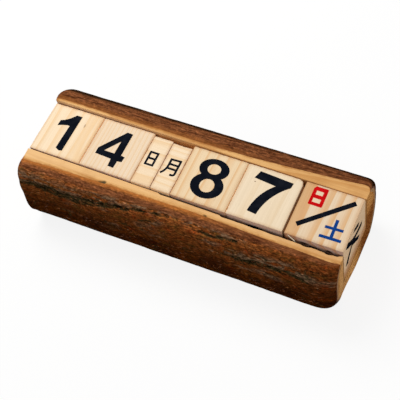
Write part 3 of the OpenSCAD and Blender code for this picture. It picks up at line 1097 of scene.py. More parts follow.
def wood_ring(shape, index, settings):
    """The outline of the wood at one section, how much of the end's round each point takes, and its marks.

    The marks are the bruises, and painted shade on the wall of the channel behind the front rim.
    """
    x = shape.places[index]
    ease = settings.rim_ease
    parts = []
    bruises = []
    for side in (FRONT, BACK):
        boundary = shape.outer[side][index, 0]
        top = shape.rim_edge[side][index]
        slope = (boundary[1] - top) / (boundary[0] - shape.wall)
        bite = bite_depth(x) if side == FRONT else 0.0
        edge = np.array([shape.wall + bite, top + slope * bite])
        start = edge + ease * np.array([1.0, slope])
        shares = np.linspace(0.0, 1.0, RIM_POINTS)[:, None]
        rim = boundary + (start - boundary) * shares
        for row, share in zip(rim, shares[:, 0]):
            row[1] -= rim_sink(x, side * row[0], share, settings)
            if side == FRONT:
                bruises.append(bruise(x, row[0] - shape.wall, boundary[0] - shape.wall))
                row[1] -= BRUISE_DEPTH * bruises[-1]
        round_over = np.array(bend(start, edge, edge - (0.0, ease), EASE_POINTS))[1:]
        wall = np.linspace((shape.wall, edge[1] - ease), (shape.wall, FLOOR_Z), WALL_POINTS)[1:]
        wall[:, 0] += bite * eased(edge[1] - wall[:, 1], BITE_REACH, 0.0)
        line = np.concatenate([rim, round_over, wall])
        parts.append(line * (side, 1))
    front, back = parts
    floor = np.linspace(front[-1], back[-1], FLOOR_POINTS)[1:-1]
    inner_back = shape.inner[BACK][index][1:]
    inner_front = shape.inner[FRONT][index][1:] * (-1, 1)
    base = np.linspace(inner_back[-1], inner_front[-1], BASE_POINTS)[1:-1]
    ring = np.concatenate([front, floor, back[::-1], inner_back, base, inner_front[::-1]])
    shares = np.ones(len(ring))
    near_bark = eased(np.arange(4), 0, 4)
    shares[:4] = near_bark
    first_hidden = len(front) + len(floor) + len(back)
    shares[first_hidden - 4 : first_hidden] = near_bark[::-1]
    shares[first_hidden : first_hidden + len(inner_back)] = 0.0
    shares[-len(inner_front) :] = 0.0
    bruised = np.zeros(len(ring))
    bruised[:RIM_POINTS] = bruises
    channel = np.zeros(len(ring))
    # Painted shade on the front wall of the channel, by place along the log.
    channel[RIM_POINTS + EASE_POINTS - 2 : len(front)] = np.interp(x / MM, *zip(*CHANNEL_SHADE))
    return ring, shares, {"bruise": bruised, "channel": channel}


def bruise(x, from_wall, width):
    """1 in the middle of a bruise in the front rim, and 0 away from all of them."""
    total = 0.0
    for along, from_bark, reach in RIM_BRUISES:
        offset = math.hypot((x / MM - along) / reach, ((width - from_wall) / MM - from_bark) / (0.6 * reach))
        total += float(eased(offset, 1.0, 0.3))
    return min(total, 1.0)


def bite_depth(x):
    """How far the front rim's inner edge is bitten back at x."""
    ragged = 0.97 + 0.22 * noise.noise(Vector((x * 170, 3.3, 8.8)))
    depth = 0.0
    for start, end, deepest in RIM_BITES:
        depth += deepest * eased(x / MM, start, start + 2.0) * eased(x / MM, end, end - 2.4)
    return ragged * float(depth) * MM


def distance_from_bark(points, shape):
    """Distance in millimetres of each point of a mesh from the line where bark and wood meet."""
    result = np.empty(len(points))
    nearest = np.array([int(np.argmin(np.abs(shape.places - x))) for x in points[:, 0]])
    for index in np.unique(nearest):
        lines = []
        for side in (FRONT, BACK):
            fine = respaced(shape.inner[side][index], 4 * INNER_POINTS)
            lines.append(fine * (side, 1))
        lines = np.concatenate(lines)
        here = np.flatnonzero(nearest == index)
        gaps = np.linalg.norm(points[here, None, 1:] - lines[None], axis=2)
        result[here] = gaps.min(axis=1)
    return np.minimum(result / MM, DEEP_INSIDE_MM)


def make_log_wood(shape, settings):
    """The sawn and milled wood of the log, which stands for the plain packed one."""
    rings, shares, rows = zip(*(wood_ring(shape, index, settings) for index in range(len(shape.places))))
    rings = eased_ends(np.array(rings), shape.places, settings.end_ease, shares[0])
    marks = {key: np.array([row[key] for row in rows]) for key in rows[0]}
    for mark in marks.values():
        mark[[0, -1]] = 0.0
    mesh, _ = tube_mesh("log_wood", rings, shape.places, WOOD_CAP_SPACING, marks)
    slant_end(mesh)
    points = np.empty(3 * len(mesh.vertices))
    mesh.vertices.foreach_get("co", points)
    store(mesh, "inside", distance_from_bark(points.reshape(-1, 3), shape))
    smooth_shade(mesh, 35.0)
    made = add_object("log_wood", mesh, [log_finish(settings, shape.wall / MM)])
    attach(made, TRAY)
    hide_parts("tray_log")
    return made


# ----------------------------------------------------------
# Bark
# ----------------------------------------------------------

BARK_NODES = {FRONT: "bark_front", BACK: "bark_back"}
BARK_BASE_POINTS = 3

# Routes of the long furrows in the bark of each side: shares of the log's length and of the rim's height, and
# half the width of the furrow in millimetres.
FURROWS = {
    FRONT: [
        [(-0.01, 0.83, 2.2), (0.1, 0.83, 3.0), (0.19, 0.8, 3.2), (0.26, 0.84, 2.4), (0.34, 0.89, 1.5)]
        + [(0.42, 0.93, 1.1), (0.5, 0.94, 0.9)],
        [(0.57, 0.92, 0.6), (0.63, 0.89, 1.4), (0.71, 0.92, 0.7)],
        [(0.66, 0.70, 0.5), (0.72, 0.715, 1.6), (0.79, 0.73, 2.2), (0.87, 0.74, 1.9), (0.93, 0.70, 0.8)],
    ],
    BACK: [
        [(-0.01, 0.8, 1.6), (0.12, 0.82, 2.2), (0.25, 0.77, 1.6), (0.37, 0.8, 2.4), (0.47, 0.78, 0.8)],
        [(0.57, 0.66, 1.0), (0.72, 0.69, 2.4), (0.86, 0.63, 1.8), (1.01, 0.67, 1.2)],
        [(0.06, 0.54, 0.8), (0.23, 0.48, 1.8), (0.4, 0.53, 1.6), (0.52, 0.49, 0.8)],
        [(0.1, 0.24, 0.8), (0.3, 0.29, 1.6), (0.45, 0.26, 1.0)],
        [(0.48, 0.33, 0.8), (0.65, 0.36, 1.6), (0.82, 0.3, 1.6), (0.95, 0.33, 0.8)],
    ],
}
RIM_DROP = 0.6 * MM
FAR_FROM_FURROWS = 1.0

# The relief goes no deeper than this.
MOST_RELIEF = 2.2 * MM

# The swollen corner of the front: its length along the log, and the heights in millimetres where it begins
# and is full, from below and from above.
SWELL_LENGTH = 11 * MM
SWELL_FROM_BELOW = (9.0, 16.0)
SWELL_FROM_ABOVE = (34.0, 20.0)

# How far the surface of each side looks up where it begins to be sawn flat and is flat, and where its relief
# begins to be calm and is calm. Relief is calm under the belly of the log as well.
SAWN_SLOPE = {FRONT: (0.90, 0.985), BACK: (0.55, 0.8)}
CALM_SLOPE = {FRONT: (0.90, 0.985), BACK: (0.2, 0.6)}
BELLY_SLOPE = (-0.08, -0.35)

# Distances in millimetres from the rim and from the base over which the relief begins.
RIM_MARGIN = 2.5
BASE_MARGIN = 3.5


def furrow_guides(places, side, shape):
    """For many places on the bark: distance from the bank of the nearest furrow, and height over its middle.

    Both are in millimetres. The distance is negative inside the furrow.
    """
    rim_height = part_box(WEEKDAY)[1].z - RIM_DROP
    nearest = np.full(places.shape[:-1], FAR_FROM_FURROWS)
    over = np.zeros(places.shape[:-1])
    for route in FURROWS[side]:
        line = []
        for along, up, half_width in route:
            x, height = (2 * along - 1) * HALF_LOG, up * rim_height
            section = shape.outer[side][int(np.argmin(np.abs(shape.places - x)))]
            flank = section[int(np.argmax(section[:, 1])) :]
            line.append((x, side * np.interp(-height, -flank[:, 1], flank[:, 0]), height, half_width * MM))
        line = np.array(line)
        for start, end in zip(line[:-1], line[1:]):
            way = (end - start)[:3]
            share = np.clip(((places - start[:3]) @ way) / (way @ way), 0.0, 1.0)
            middle = start[:3] + share[..., None] * way
            gap = np.linalg.norm(places - middle, axis=-1) - (start[3] + share * (end[3] - start[3]))
            closer = gap < nearest
            nearest = np.where(closer, gap, nearest)
            over = np.where(closer, places[..., 2] - middle[..., 2], over)
    return nearest / MM, over / MM


def bark_shell(side, shape, settings):
    """The smooth shell of bark on one side, with the guides that the relief follows."""
    outer = shape.outer[side]
    inner = shape.inner[side]
    count = outer.shape[1]
    base = np.linspace(outer[:, -1], inner[:, -1], BARK_BASE_POINTS + 2, axis=1)[:, 1:-1]
    rings = np.concatenate([outer, base, inner[:, :0:-1]], axis=1)
    hidden = rings.shape[1] - count
    steps = np.linalg.norm(np.diff(outer, axis=1), axis=2)
    across = np.concatenate([np.zeros((len(outer), 1)), np.cumsum(steps, axis=1)], axis=1) / MM
    tangent = np.gradient(outer, axis=1)
    normal = np.stack([-tangent[..., 1], tangent[..., 0]], axis=-1)
    normal /= np.linalg.norm(normal, axis=2, keepdims=True)
    normal *= np.sign(normal[:, count // 2, 0])[:, None, None]
    out = np.concatenate([np.zeros((*outer.shape[:2], 1)), normal * (side, 1)], axis=2)
    up = normal[..., 1]
    height_mm = outer[..., 1] / MM
    if side == FRONT:
        corner = eased(HALF_LOG + shape.places, SWELL_LENGTH, 0.0)[:, None]
        corner = corner * eased(height_mm, *SWELL_FROM_ABOVE)
        swell = CORNER_SWELL * corner * eased(height_mm, *SWELL_FROM_BELOW)
        rings[:, :count] += normal * swell[..., None]
    level = 1 - 0.85 * eased(up, *CALM_SLOPE[side]) - 0.65 * eased(up, *BELLY_SLOPE)
    lift = eased(across, 0.0, RIM_MARGIN) * eased(height_mm, 0.0, BASE_MARGIN)
    by_end = eased(HALF_LOG - np.abs(shape.places), 9 * MM, 1 * MM)[:, None]
    route, over = furrow_guides(shape.in_space(outer, side), side, shape)
    guides = {
        "across": across,
        "rise": outer[..., 1] / outer[:, :1, 1],
        "fade": lift * level * (1 - 0.85 * by_end),
        "lift": lift,
        "route": route,
        "over": over,
        "sawn": eased(up, *SAWN_SLOPE[side]),
        "up": up,
    }
    padded = {key: np.pad(value, ((0, 0), (0, hidden))) for key, value in guides.items()}
    places = np.concatenate([out, np.zeros((len(outer), hidden, 3))], axis=1)
    signed = rings * (side, 1)
    shares = np.zeros(rings.shape[1])
    shares[:count] = eased(np.arange(count), 0, 4) * eased(np.arange(count), count, count - 4)
    signed = eased_ends(signed, shape.places, settings.end_ease, shares)
    mesh, sides = tube_mesh(BARK_NODES[side] + "_relief", signed, shape.places, BARK_CAP_SPACING, padded)
    slant_end(mesh)
    outwards = np.zeros((len(mesh.vertices), 3))
    outwards[: places.shape[0] * places.shape[1]] = places.reshape(-1, 3)
    store(mesh, "out", outwards, "FLOAT_VECTOR")
    around = rings.shape[1]
    skin = np.zeros(len(mesh.polygons), bool)
    skin[:sides] = np.arange(sides) % around < count - 1
    layer = mesh.attributes.new("skin", "BOOLEAN", "FACE")
    layer.data.foreach_set("value", skin)
    return mesh


def named(tree, name, data_type="FLOAT"):
    """A field that reads an attribute by its name."""
    return field(tree, "GeometryNodeInputNamedAttribute", {"Name": name}, "Attribute", data_type=data_type)


def keep(geometry, name, value):
    """Stores a field on the points of a geometry."""
    sockets = {"Geometry": geometry, "Name": name, "Value": value}
    kind = "GeometryNodeStoreNamedAttribute"
    return field(geometry.tree, kind, sockets, data_type="FLOAT", domain="POINT")


def finished(geometry, material, output, **limits):
    """Ends a tree: realizes instances and sets the material, on all faces or within the limits given."""
    whole = field(geometry.tree, "GeometryNodeRealizeInstances", {"Geometry": geometry})
    sockets = {"Geometry": whole, "Material": material, **limits}
    fill(output, {"Geometry": field(geometry.tree, "GeometryNodeSetMaterial", sockets)})


def voronoi(vector, feature, result):
    """Cells over a surface."""
    sockets = {"Vector": vector, "Scale": 1.0}
    return field(vector.tree, "ShaderNodeTexVoronoi", sockets, result, feature=feature)


def bark_relief_tree():
    """Cuts furrows, cracks, scales and fibres into a smooth shell of bark. All of them go inwards."""
    sizes = {"Furrow depth": 1.5 * MM, "Outward": 0.5 * MM, "Crack depth": 0.5 * MM, "Scale depth": 0.4 * MM}
    inputs = {"Geometry": GEOMETRY, **sizes, "Fibre depth": 0.3 * MM, "Seed": 0.0}
    inputs.update({"Bark": MATERIAL, "Cut bark": MATERIAL})
    tree, given, output = new_tree("Bark relief", "GeometryNodeTree", inputs, {"Geometry": GEOMETRY})
    x = (field(tree, "GeometryNodeInputPosition") * (1 / MM)).parts()[0]
    across, rise = named(tree, "across"), named(tree, "rise")
    flat = gather(x, across, given["Seed"] * 23.0)

    def over_bark(along, down, **looks):
        return cloud(flat * (along, down, 1.0), **looks)

    # Furrows have ragged banks and black hollows.
    wander = over_bark(0.14, 0.45, detail=4.0, roughness=0.68)
    route = named(tree, "route") + (wander - 0.5) * 5.0
    ragged = over_bark(0.20, 0.45, detail=4.0, roughness=0.65)
    furrow = route.ramp(0.5, -1.2) * ragged.ramp(0.40, 0.60, 0.30, 1.0)

    # Cracks part the bark into long plates.
    sway = over_bark(0.08, 0.16, detail=3.0, result="Color")
    swayed = flat * (0.042, 0.20, 1.0) + sway * 1.1
    crack = voronoi(swayed, "DISTANCE_TO_EDGE", "Distance").ramp(0.06, 0.0)
    crack = crack * over_bark(0.05, 0.12).ramp(0.45, 0.62)

    # Thin scales lie over each other in steps, mostly half way down and beside the furrows.
    height = voronoi(flat * (0.12, 0.6, 1.0) + sway * 2.4, "F1", "Color").parts()[0]
    beside = route.ramp(7.0, 3.0) * named(tree, "over").ramp(-0.5, 1.5)
    patch = over_bark(0.04, 0.1).ramp(0.56, 0.68, 0.0, 0.8) * rise.ramp(0.3, 0.7, 0.25, 1.0)
    scaly = calc("MAXIMUM", beside, patch) * across.ramp(2.0, 5.0)
    fibre = over_bark(0.20, 0.85, detail=5.0, roughness=0.75).ramp(0.3, 0.7)
    lump = over_bark(0.05, 0.16, detail=3.0, roughness=0.6).ramp(0.3, 0.7)

    depth = furrow * given["Furrow depth"] + crack * given["Crack depth"]
    depth = depth + (scaly - height * scaly) * given["Scale depth"]
    depth = depth + fibre * given["Fibre depth"] + lump * given["Scale depth"]
    depth = calc("MINIMUM", depth, MOST_RELIEF) * named(tree, "fade")
    depth = depth - given["Outward"] * named(tree, "lift")
    inwards = named(tree, "out", "FLOAT_VECTOR") * (depth * -1.0)
    bark = field(tree, "GeometryNodeSetPosition", {"Geometry": given["Geometry"], "Offset": inwards})
    bark = keep(bark, "furrow", calc("MAXIMUM", crack * 0.6, furrow))
    bark = keep(bark, "scale", height)
    bark = keep(bark, "scaly", scaly)
    bark = field(tree, "GeometryNodeSetMaterial", {"Geometry": bark, "Material": given["Cut bark"]})
    finished(bark, given["Bark"], output, Selection=named(tree, "skin", "BOOLEAN"))
    return tree


def chips_tree():
    """Scatters thin curled chips over the bark, with their length along the log."""
    inputs = {"Geometry": GEOMETRY, "Count per square metre": 42000.0, "Length": 2.0 * MM}
    inputs.update({"Seed": 0, "Material": MATERIAL})
    tree, given, output = new_tree("Bark chips", "GeometryNodeTree", inputs, {"Geometry": GEOMETRY})
    ball = field(tree, "GeometryNodeMeshUVSphere", {"Segments": 8, "Rings": 4})
    x, y, z = field(tree, "GeometryNodeInputPosition").parts()
    curled = gather(x, y * 0.22, z * 0.07 + calc("POWER", abs(x), 2.0) * 0.18)
    chip = field(tree, "GeometryNodeSetPosition", {"Geometry": ball, "Position": curled})
    spread = {
        "Mesh": given["Geometry"],
        "Selection": calc("GREATER_THAN", named(tree, "fade"), 0.8),
        "Density": given["Count per square metre"],
        "Seed": given["Seed"],
    }
    scatter = step(tree, "GeometryNodeDistributePointsOnFaces", spread).outputs
    align = "FunctionNodeAlignRotationToVector"
    upright = field(tree, align, {"Vector": Field(scatter["Normal"])}, axis="Z")
    along = field(tree, align, {"Rotation": upright, "Vector": (1.0, 0.0, 0.0)}, axis="X", pivot_axis="Z")
    draw = "FunctionNodeRandomValue"
    limits = {"Min": (-0.12, -0.2, -0.35), "Max": (0.12, 0.1, 0.35)}
    turn = field(tree, draw, limits, "Value", data_type="FLOAT_VECTOR")
    tilt = field(tree, "FunctionNodeEulerToRotation", {"Euler": turn})
    rotation = field(tree, "FunctionNodeRotateRotation", {"Rotation": along, "Rotate By": tilt})
    share = field(tree, draw, {"Min": 0.25, "Max": 1.0, "Seed": 5}, "Value", data_type="FLOAT")
    size = calc("POWER", share, 2.0) * (given["Length"] * 0.5)
    sockets = {"Points": Field(scatter["Points"]), "Instance": chip, "Rotation": rotation, "Scale": size}
    finished(field(tree, "GeometryNodeInstanceOnPoints", sockets), given["Material"], output)
    return tree


def make_bark(side, shape, settings, finishes):
    """Bark of one side with its relief, and the loose chips on it."""
    bark = add_object(BARK_NODES[side] + "_relief", bark_shell(side, shape, settings), [])
    relief = {
        "Furrow depth": settings.furrow_depth,
        "Outward": settings.outward,
        "Crack depth": settings.crack_depth,
        "Scale depth": settings.scale_depth,
        "Fibre depth": settings.fibre_depth,
        "Seed": 2.0 + side,
        "Bark": finishes["bark"],
        "Cut bark": finishes["cut"],
    }
    shape_with_nodes(bark, bpy.data.node_groups.get("Bark relief") or bark_relief_tree(), relief)
    smooth_shade(bark.data, 55.0)
    chips = add_object("chips_" + BARK_NODES[side], bark.data.copy(), [])
    scatter = {
        "Count per square metre": 100.0 * settings.chip_count,
        "Length": settings.chip_length,
        "Seed": 5 + side,
        "Material": finishes["chips"],
    }
    shape_with_nodes(chips, bpy.data.node_groups.get("Bark chips") or chips_tree(), scatter)
    for made in (bark, chips):
        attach(made, TRAY)
    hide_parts(BARK_NODES[side])


# ----------------------------------------------------------
# Blocks
# ----------------------------------------------------------

BLOCK_SLOTS = {name: "block_wood" for name in NUMBER_CUBES}
BLOCK_SLOTS.update({name: "tile_wood" for name in TILES})
BLOCK_SLOTS[WEEKDAY] = "weekday_wood"

# The block with a worn upright edge, and the side of the block that the edge is on.
WORN_BLOCK = "number_cube_4"
WORN_EDGE = (1.0, 1.0, 0.0)
WORN_REACH = 4.5 * MM

# Blocks that are sanded back on one side: wear of the left and of the right side, in millimetres.
SIDE_WEAR = {"number_cube_4": (0.0, 0.4), "weekday_cube": (0.3, 0.0)}
SIDE_REACH = 3.0 * MM

# Share of a face's spans that crowd into its rounded edges, and how far from an edge the wood counts as near.
EDGE_BAND = 0.28
EDGE_REACH = 1.3 * MM


def sanded_block_tree():
    """A block with sanded edges: flat faces, rounded edges with small dents, and one worn upright edge."""
    inputs = {"Geometry": GEOMETRY, "Half size": VECTOR, "Middle": VECTOR, "Edge radius": 0.7 * MM}
    inputs.update({"Edge wear": 0.2 * MM, "Worn edge": VECTOR, "Worn depth": 0.0, "Left wear": 0.0})
    inputs.update({"Right wear": 0.0, "Spans": 36, "Material": MATERIAL})
    tree, given, output = new_tree("Sanded block", "GeometryNodeTree", inputs, {"Geometry": GEOMETRY})
    corners = given["Spans"] + 1.0
    counts = {"Vertices " + axis: corners for axis in "XYZ"}
    cube = field(tree, "GeometryNodeMeshCube", {"Size": (2.0, 2.0, 2.0), **counts})
    position = field(tree, "GeometryNodeInputPosition")
    sign, size = calc("SIGN", position), abs(position)
    half, middle = given["Half size"], given["Middle"]
    radius = gather(*[given["Edge radius"]] * 3)
    flat_half = half - radius
    none, all_three = (0.0, 0.0, 0.0), (1.0, 1.0, 1.0)

    # The outer spans crowd into the rounded edges.
    inner = calc("MINIMUM", size * (1 / (1 - EDGE_BAND)), all_three)
    outer = calc("MAXIMUM", size - (1 - EDGE_BAND,) * 3, none) * (1 / EDGE_BAND)
    place = inner * flat_half + outer * radius
    core = calc("MINIMUM", place, flat_half)
    away = calc("NORMALIZE", place - core)
    rounded = (core + away * radius) * sign

    # A point is near an edge when it is near two faces at once.
    reach = (EDGE_REACH,) * 3
    near = (place - (flat_half - reach)) / reach
    near = calc("MAXIMUM", calc("MINIMUM", near, all_three), none).parts()
    pairs = [near[a] * near[b] for a, b in ((0, 1), (1, 2), (2, 0))]
    edge = calc("MAXIMUM", calc("MAXIMUM", pairs[0], pairs[1]), pairs[2])
    dents = cloud((rounded + middle) * (1 / MM) * 0.45, detail=3.0, roughness=0.65).ramp(0.38, 0.75)
    worn = away * sign * (dents * edge * given["Edge wear"] * -1.0)

    where = rounded.parts()
    halves = half.parts()
    turned = (rounded * given["Worn edge"]).parts()
    close = [turned[axis].ramp(halves[axis] - WORN_REACH, halves[axis]) for axis in (0, 1)]
    corner = close[0] * close[1] * given["Worn depth"]
    worn = worn + given["Worn edge"] * (corner * -0.7)

    # The sides are sanded back evenly, apart from their lower ends.
    left = (where[0] + halves[0]).ramp(SIDE_REACH, 0.0) * given["Left wear"]
    right = (halves[0] - where[0]).ramp(SIDE_REACH, 0.0) * given["Right wear"]
    upper = where[2].ramp(halves[2] * -0.5, 0.0)
    worn = worn + gather((left - right) * upper, 0.0, 0.0)

    sockets = {"Geometry": keep(cube, "edge", edge), "Position": rounded + worn + middle}
    finished(field(tree, "GeometryNodeSetPosition", sockets), given["Material"], output)
    return tree


def make_block(name, seed, settings):
    """One loose block of pine."""
    low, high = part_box(name)
    made = add_object(name + "_wood", bpy.data.meshes.new(name + "_wood"), [])
    left_wear, right_wear = SIDE_WEAR.get(name, (0.0, 0.0))
    values = {
        "Half size": (high - low) / 2,
        "Middle": (high + low) / 2,
        "Edge radius": settings.edge_radius,
        "Edge wear": settings.edge_wear,
        "Worn edge": WORN_EDGE,
        "Worn depth": settings.corner_wear if name == WORN_BLOCK else 0.0,
        "Left wear": left_wear * MM,
        "Right wear": right_wear * MM,
        "Spans": settings.spans,
        "Material": block_finish(name, seed),
    }
    shape_with_nodes(made, bpy.data.node_groups.get("Sanded block") or sanded_block_tree(), values)
    made.data.shade_smooth()
    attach(made, name)
    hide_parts(name)
    return made


# ----------------------------------------------------------
# Printed marks: shapes in millimetres from the middle of a face, to the right and up
# ----------------------------------------------------------


def oval(centre, across, upright, count=44):
    """Points of an ellipse."""
    turns = [2 * math.pi * k / count for k in range(count)]
    return [(centre[0] + across * math.cos(turn), centre[1] + upright * math.sin(turn)) for turn in turns]


def sweep_of(centre, radius, start, end, count=20):
    """Points of a part of a circle, between two angles in degrees."""
    turns = np.radians(np.linspace(start, end, count))
    return [(centre[0] + radius * math.cos(turn), centre[1] + radius * math.sin(turn)) for turn in turns]


def stroke(points, width, end_width=None):
    """The outline of a stroke with square ends along a smooth line. It may narrow towards its end."""
    line = np.array(points, float)
    along = np.gradient(line, axis=0) if len(line) > 2 else np.repeat(line[1:] - line[:1], 2, axis=0)
    along /= np.linalg.norm(along, axis=1, keepdims=True)
    aside = np.stack([-along[:, 1], along[:, 0]], axis=1)
    half = np.linspace(width, width if end_width is None else end_width, len(line))[:, None] / 2
    return [tuple(p) for p in np.concatenate([line + aside * half, (line - aside * half)[::-1]])]


def bar(left, right, low, high):
    """A rectangle."""
    return [(left, low), (right, low), (right, high), (left, high)]


def inked(*ink, holes=()):
    """A mark: the outlines of its ink, and of the holes in the ink."""
    return list(ink), list(holes)


DIGIT_WIDTH = 4.8
FACE_STROKE = 4.3
SMALL_STROKE = 1.35

# The digits from 0 to 8. A 6 stands for a 9 as well.
DIGITS = [
    inked(oval((0, 0), 9.0, 13.0), holes=[oval((0, 0), 4.4, 8.6)]),
    inked(
        [(-0.1, 13.1), (3.8, 13.1), (3.3, -12.9), (1.1, -13.3), (-1.5, -12.1), (-0.9, 4.6)]
        + bend((-2.0, 4.7), (-5.2, 4.2), (-8.6, 2.7), 5)
        + bend((-8.4, 6.7), (-4.0, 8.0), (-0.1, 13.1), 7)[:-1]
    ),
    inked(
        stroke(sweep_of((0, 5.6), 6.7, 170, -20) + bend((6.0, 2.6), (3.0, -3.5), (-6.6, -10.4)), DIGIT_WIDTH),
        bar(-9.0, 9.0, -13.0, -8.6),
    ),
    inked(
        stroke(sweep_of((-0.4, 5.9), 5.3, 165, -95), DIGIT_WIDTH - 0.4),
        stroke(sweep_of((-0.4, -5.4), 6.2, 100, -165), DIGIT_WIDTH - 0.4),
    ),
    inked(
        [(0.9, 12.4), (4.7, 12.2), (4.6, -3.7), (7.3, -4.1), (6.9, -7.7), (4.1, -8.1), (3.9, -13.0)]
        + [(0.0, -12.8), (-0.4, -7.8), (-11.5, -7.2), (-11.5, -3.1)],
        holes=[[(0.1, 5.3), (-7.0, -3.7), (-0.1, -3.7)]],
    ),
    inked(
        bar(-6.8, 7.8, 8.4, 12.8),
        stroke([(-5.2, 12.0), (-6.4, -0.6)], DIGIT_WIDTH - 0.6),
        stroke(sweep_of((-0.6, -4.6), 6.3, 140, -160), DIGIT_WIDTH - 0.2),
    ),
    inked(
        oval((0.0, -4.6), 8.9, 8.4),
        stroke(bend((-6.6, -4.0), (-6.6, 8.6), (5.4, 11.0), 16), DIGIT_WIDTH),
        holes=[oval((0.1, -4.7), 4.2, 3.9)],
    ),
    inked(
        [(-9.0, 14.6), (11.7, 13.2)]
        + bend((11.3, 9.9), (0.5, 1.0), (-0.8, -12.3), 16)
        + bend((-6.6, -11.7), (-5.6, 0.2), (2.7, 8.1), 14)
        + [(-10.8, 9.5)]
    ),
    inked(
        oval((0.3, 6.5), 9.2, 6.9),
        oval((0.6, -5.0), 10.0, 8.3),
        holes=[oval((0.3, 6.5), 4.1, 3.4), oval((0.6, -4.9), 4.45, 4.45)],
    ),
]

DAY = inked(bar(-4.1, 2.1, -3.5, 6.3), holes=[bar(-2.75, 0.75, 2.2, 4.95), bar(-2.75, 0.75, -2.2, 0.75)])
MONTH = inked(
    stroke([(-2.9, 5.45), (4.2, 5.8)], SMALL_STROKE),
    stroke([(-2.2, 2.3), (3.2, 2.3)], SMALL_STROKE),
    stroke([(-2.2, -0.6), (3.2, -0.7)], SMALL_STROKE),
    stroke([(-2.4, 5.9)] + bend((-2.4, 1.0), (-2.6, -2.6), (-5.1, -4.9), 8), SMALL_STROKE),
    stroke([(3.65, 5.9)] + bend((3.6, -3.2), (3.5, -4.9), (0.8, -4.4), 6), SMALL_STROKE),
)

# The two weekdays on the top of the weekday cube, and the slash between them.
SUNDAY = inked(
    [(-11.6, 4.4), (-11.2, 4.0), (-3.7, 4.0), (-3.3, 4.4), (-3.3, 15.7), (-3.7, 16.1), (-10.5, 16.1)]
    + [(-11.6, 14.7)],
    holes=[bar(-9.6, -5.4, 11.0, 13.6), bar(-9.9, -5.3, 6.0, 8.7)],
)
SLASH = inked(stroke([(-12.6, -10.0), (13.6, 13.1)], 2.9))
SATURDAY = inked(
    stroke([(7.8, 0.0), (8.1, -12.3)], 1.8),
    stroke([(2.6, -6.0), (13.1, -5.6)], 1.7),
    stroke([(1.4, -12.2), (14.0, -11.9)], 1.8),
)

# The other weekdays, each on its face of the weekday cube: fire, water, tree, moon and gold.
WEEKDAYS = {
    "right_turned": inked(
        stroke([(-1.2, 11.2), (-4.5, -2.6)], 4.0),
        stroke(bend((-4.5, -1.6), (-8.6, -7.6), (-15.2, -12.4), 10), 4.4, 4.0),
        stroke(bend((-3.6, -3.4), (-0.4, -8.6), (7.2, -12.8), 10), 2.6, 4.4),
        stroke([(-8.4, 6.4), (-13.4, -1.4)], 3.2, 2.6),
        stroke([(7.4, 6.6), (-2.8, -3.2)], 3.0, 3.6),
    ),
    "front": inked(
        stroke([(0.0, 12.2), (0.0, -12.0)], FACE_STROKE),
        stroke([(0.6, -11.6), (-3.6, -9.6)], FACE_STROKE, 1.2),
        stroke([(-9.6, 6.0), (-2.6, 6.0)], FACE_STROKE),
        stroke(bend((-3.2, 6.4), (-4.6, -2.4), (-10.4, -7.4), 8), FACE_STROKE, 1.2),
        stroke([(9.0, 8.6), (1.2, 2.4)], FACE_STROKE, 1.5),
        stroke(bend((1.0, 3.0), (4.4, -4.6), (11.0, -8.8), 8), FACE_STROKE, 1.6),
    ),
    "left": inked(
        stroke([(-11.2, 5.2), (11.2, 5.2)], FACE_STROKE),
        stroke([(0.0, 12.6), (0.0, -12.8)], FACE_STROKE),
        stroke(bend((-0.4, 5.0), (-4.2, -2.8), (-11.2, -8.2), 8), FACE_STROKE, 1.3),
        stroke(bend((0.4, 5.0), (4.2, -2.8), (11.4, -8.4), 8), FACE_STROKE, 1.6),
    ),
    "back": inked(
        stroke([(-6.4, 11.6), (7.4, 11.6)], FACE_STROKE),
        stroke([(-5.4, 5.6), (6.4, 5.6)], FACE_STROKE),
        stroke([(-5.4, -0.2), (6.4, -0.2)], FACE_STROKE),
        stroke([(-5.4, 12.2)] + bend((-5.4, 2.0), (-5.6, -7.0), (-10.2, -12.2), 8), FACE_STROKE),
        stroke([(6.4, 12.2)] + bend((6.4, -8.6), (6.4, -12.4), (1.4, -11.6), 6), FACE_STROKE),
    ),
    "bottom": inked(
        stroke([(0.6, 13.0), (-11.4, 3.6)], FACE_STROKE, 1.3),
        stroke([(-0.6, 13.0), (11.6, 3.4)], FACE_STROKE, 1.6),
        stroke([(-5.2, 3.2), (5.2, 3.2)], FACE_STROKE),
        stroke([(-8.4, -2.6), (8.4, -2.6)], FACE_STROKE),
        stroke([(0.0, 3.6), (0.0, -11.0)], FACE_STROKE),
        stroke([(-11.4, -11.4), (11.4, -11.4)], FACE_STROKE),
        stroke([(-6.4, -4.8), (-4.6, -9.0)], FACE_STROKE, 1.6),
        stroke([(6.6, -4.8), (4.6, -9.0)], FACE_STROKE, 1.6),
    ),
}

# Faces of a block: the directions of right and up on the face, and the way that it looks.
FACES = {
    "top": ((1, 0, 0), (0, 1, 0), (0, 0, 1)),
    "front": ((1, 0, 0), (0, 0, 1), (0, -1, 0)),
    "bottom": ((1, 0, 0), (0, -1, 0), (0, 0, -1)),
    "back": ((1, 0, 0), (0, 0, -1), (0, 1, 0)),
    "left": ((0, -1, 0), (0, 0, 1), (-1, 0, 0)),
    "right": ((0, 1, 0), (0, 0, 1), (1, 0, 0)),
    "right_turned": ((0, 0, -1), (0, 1, 0), (1, 0, 0)),
}

NUMBERS = {
    "number_cube_1": {"top": 1, "front": 2, "bottom": 4, "back": 3, "left": 0, "right": 5},
    "number_cube_2": {"top": 4, "front": 5, "bottom": 1, "back": 0, "left": 2, "right": 3},
    "number_cube_3": {"top": 8, "front": 0, "bottom": 7, "back": 6, "left": 1, "right": 2},
    "number_cube_4": {"top": 7, "front": 8, "bottom": 2, "back": 1, "left": 6, "right": 0},
}


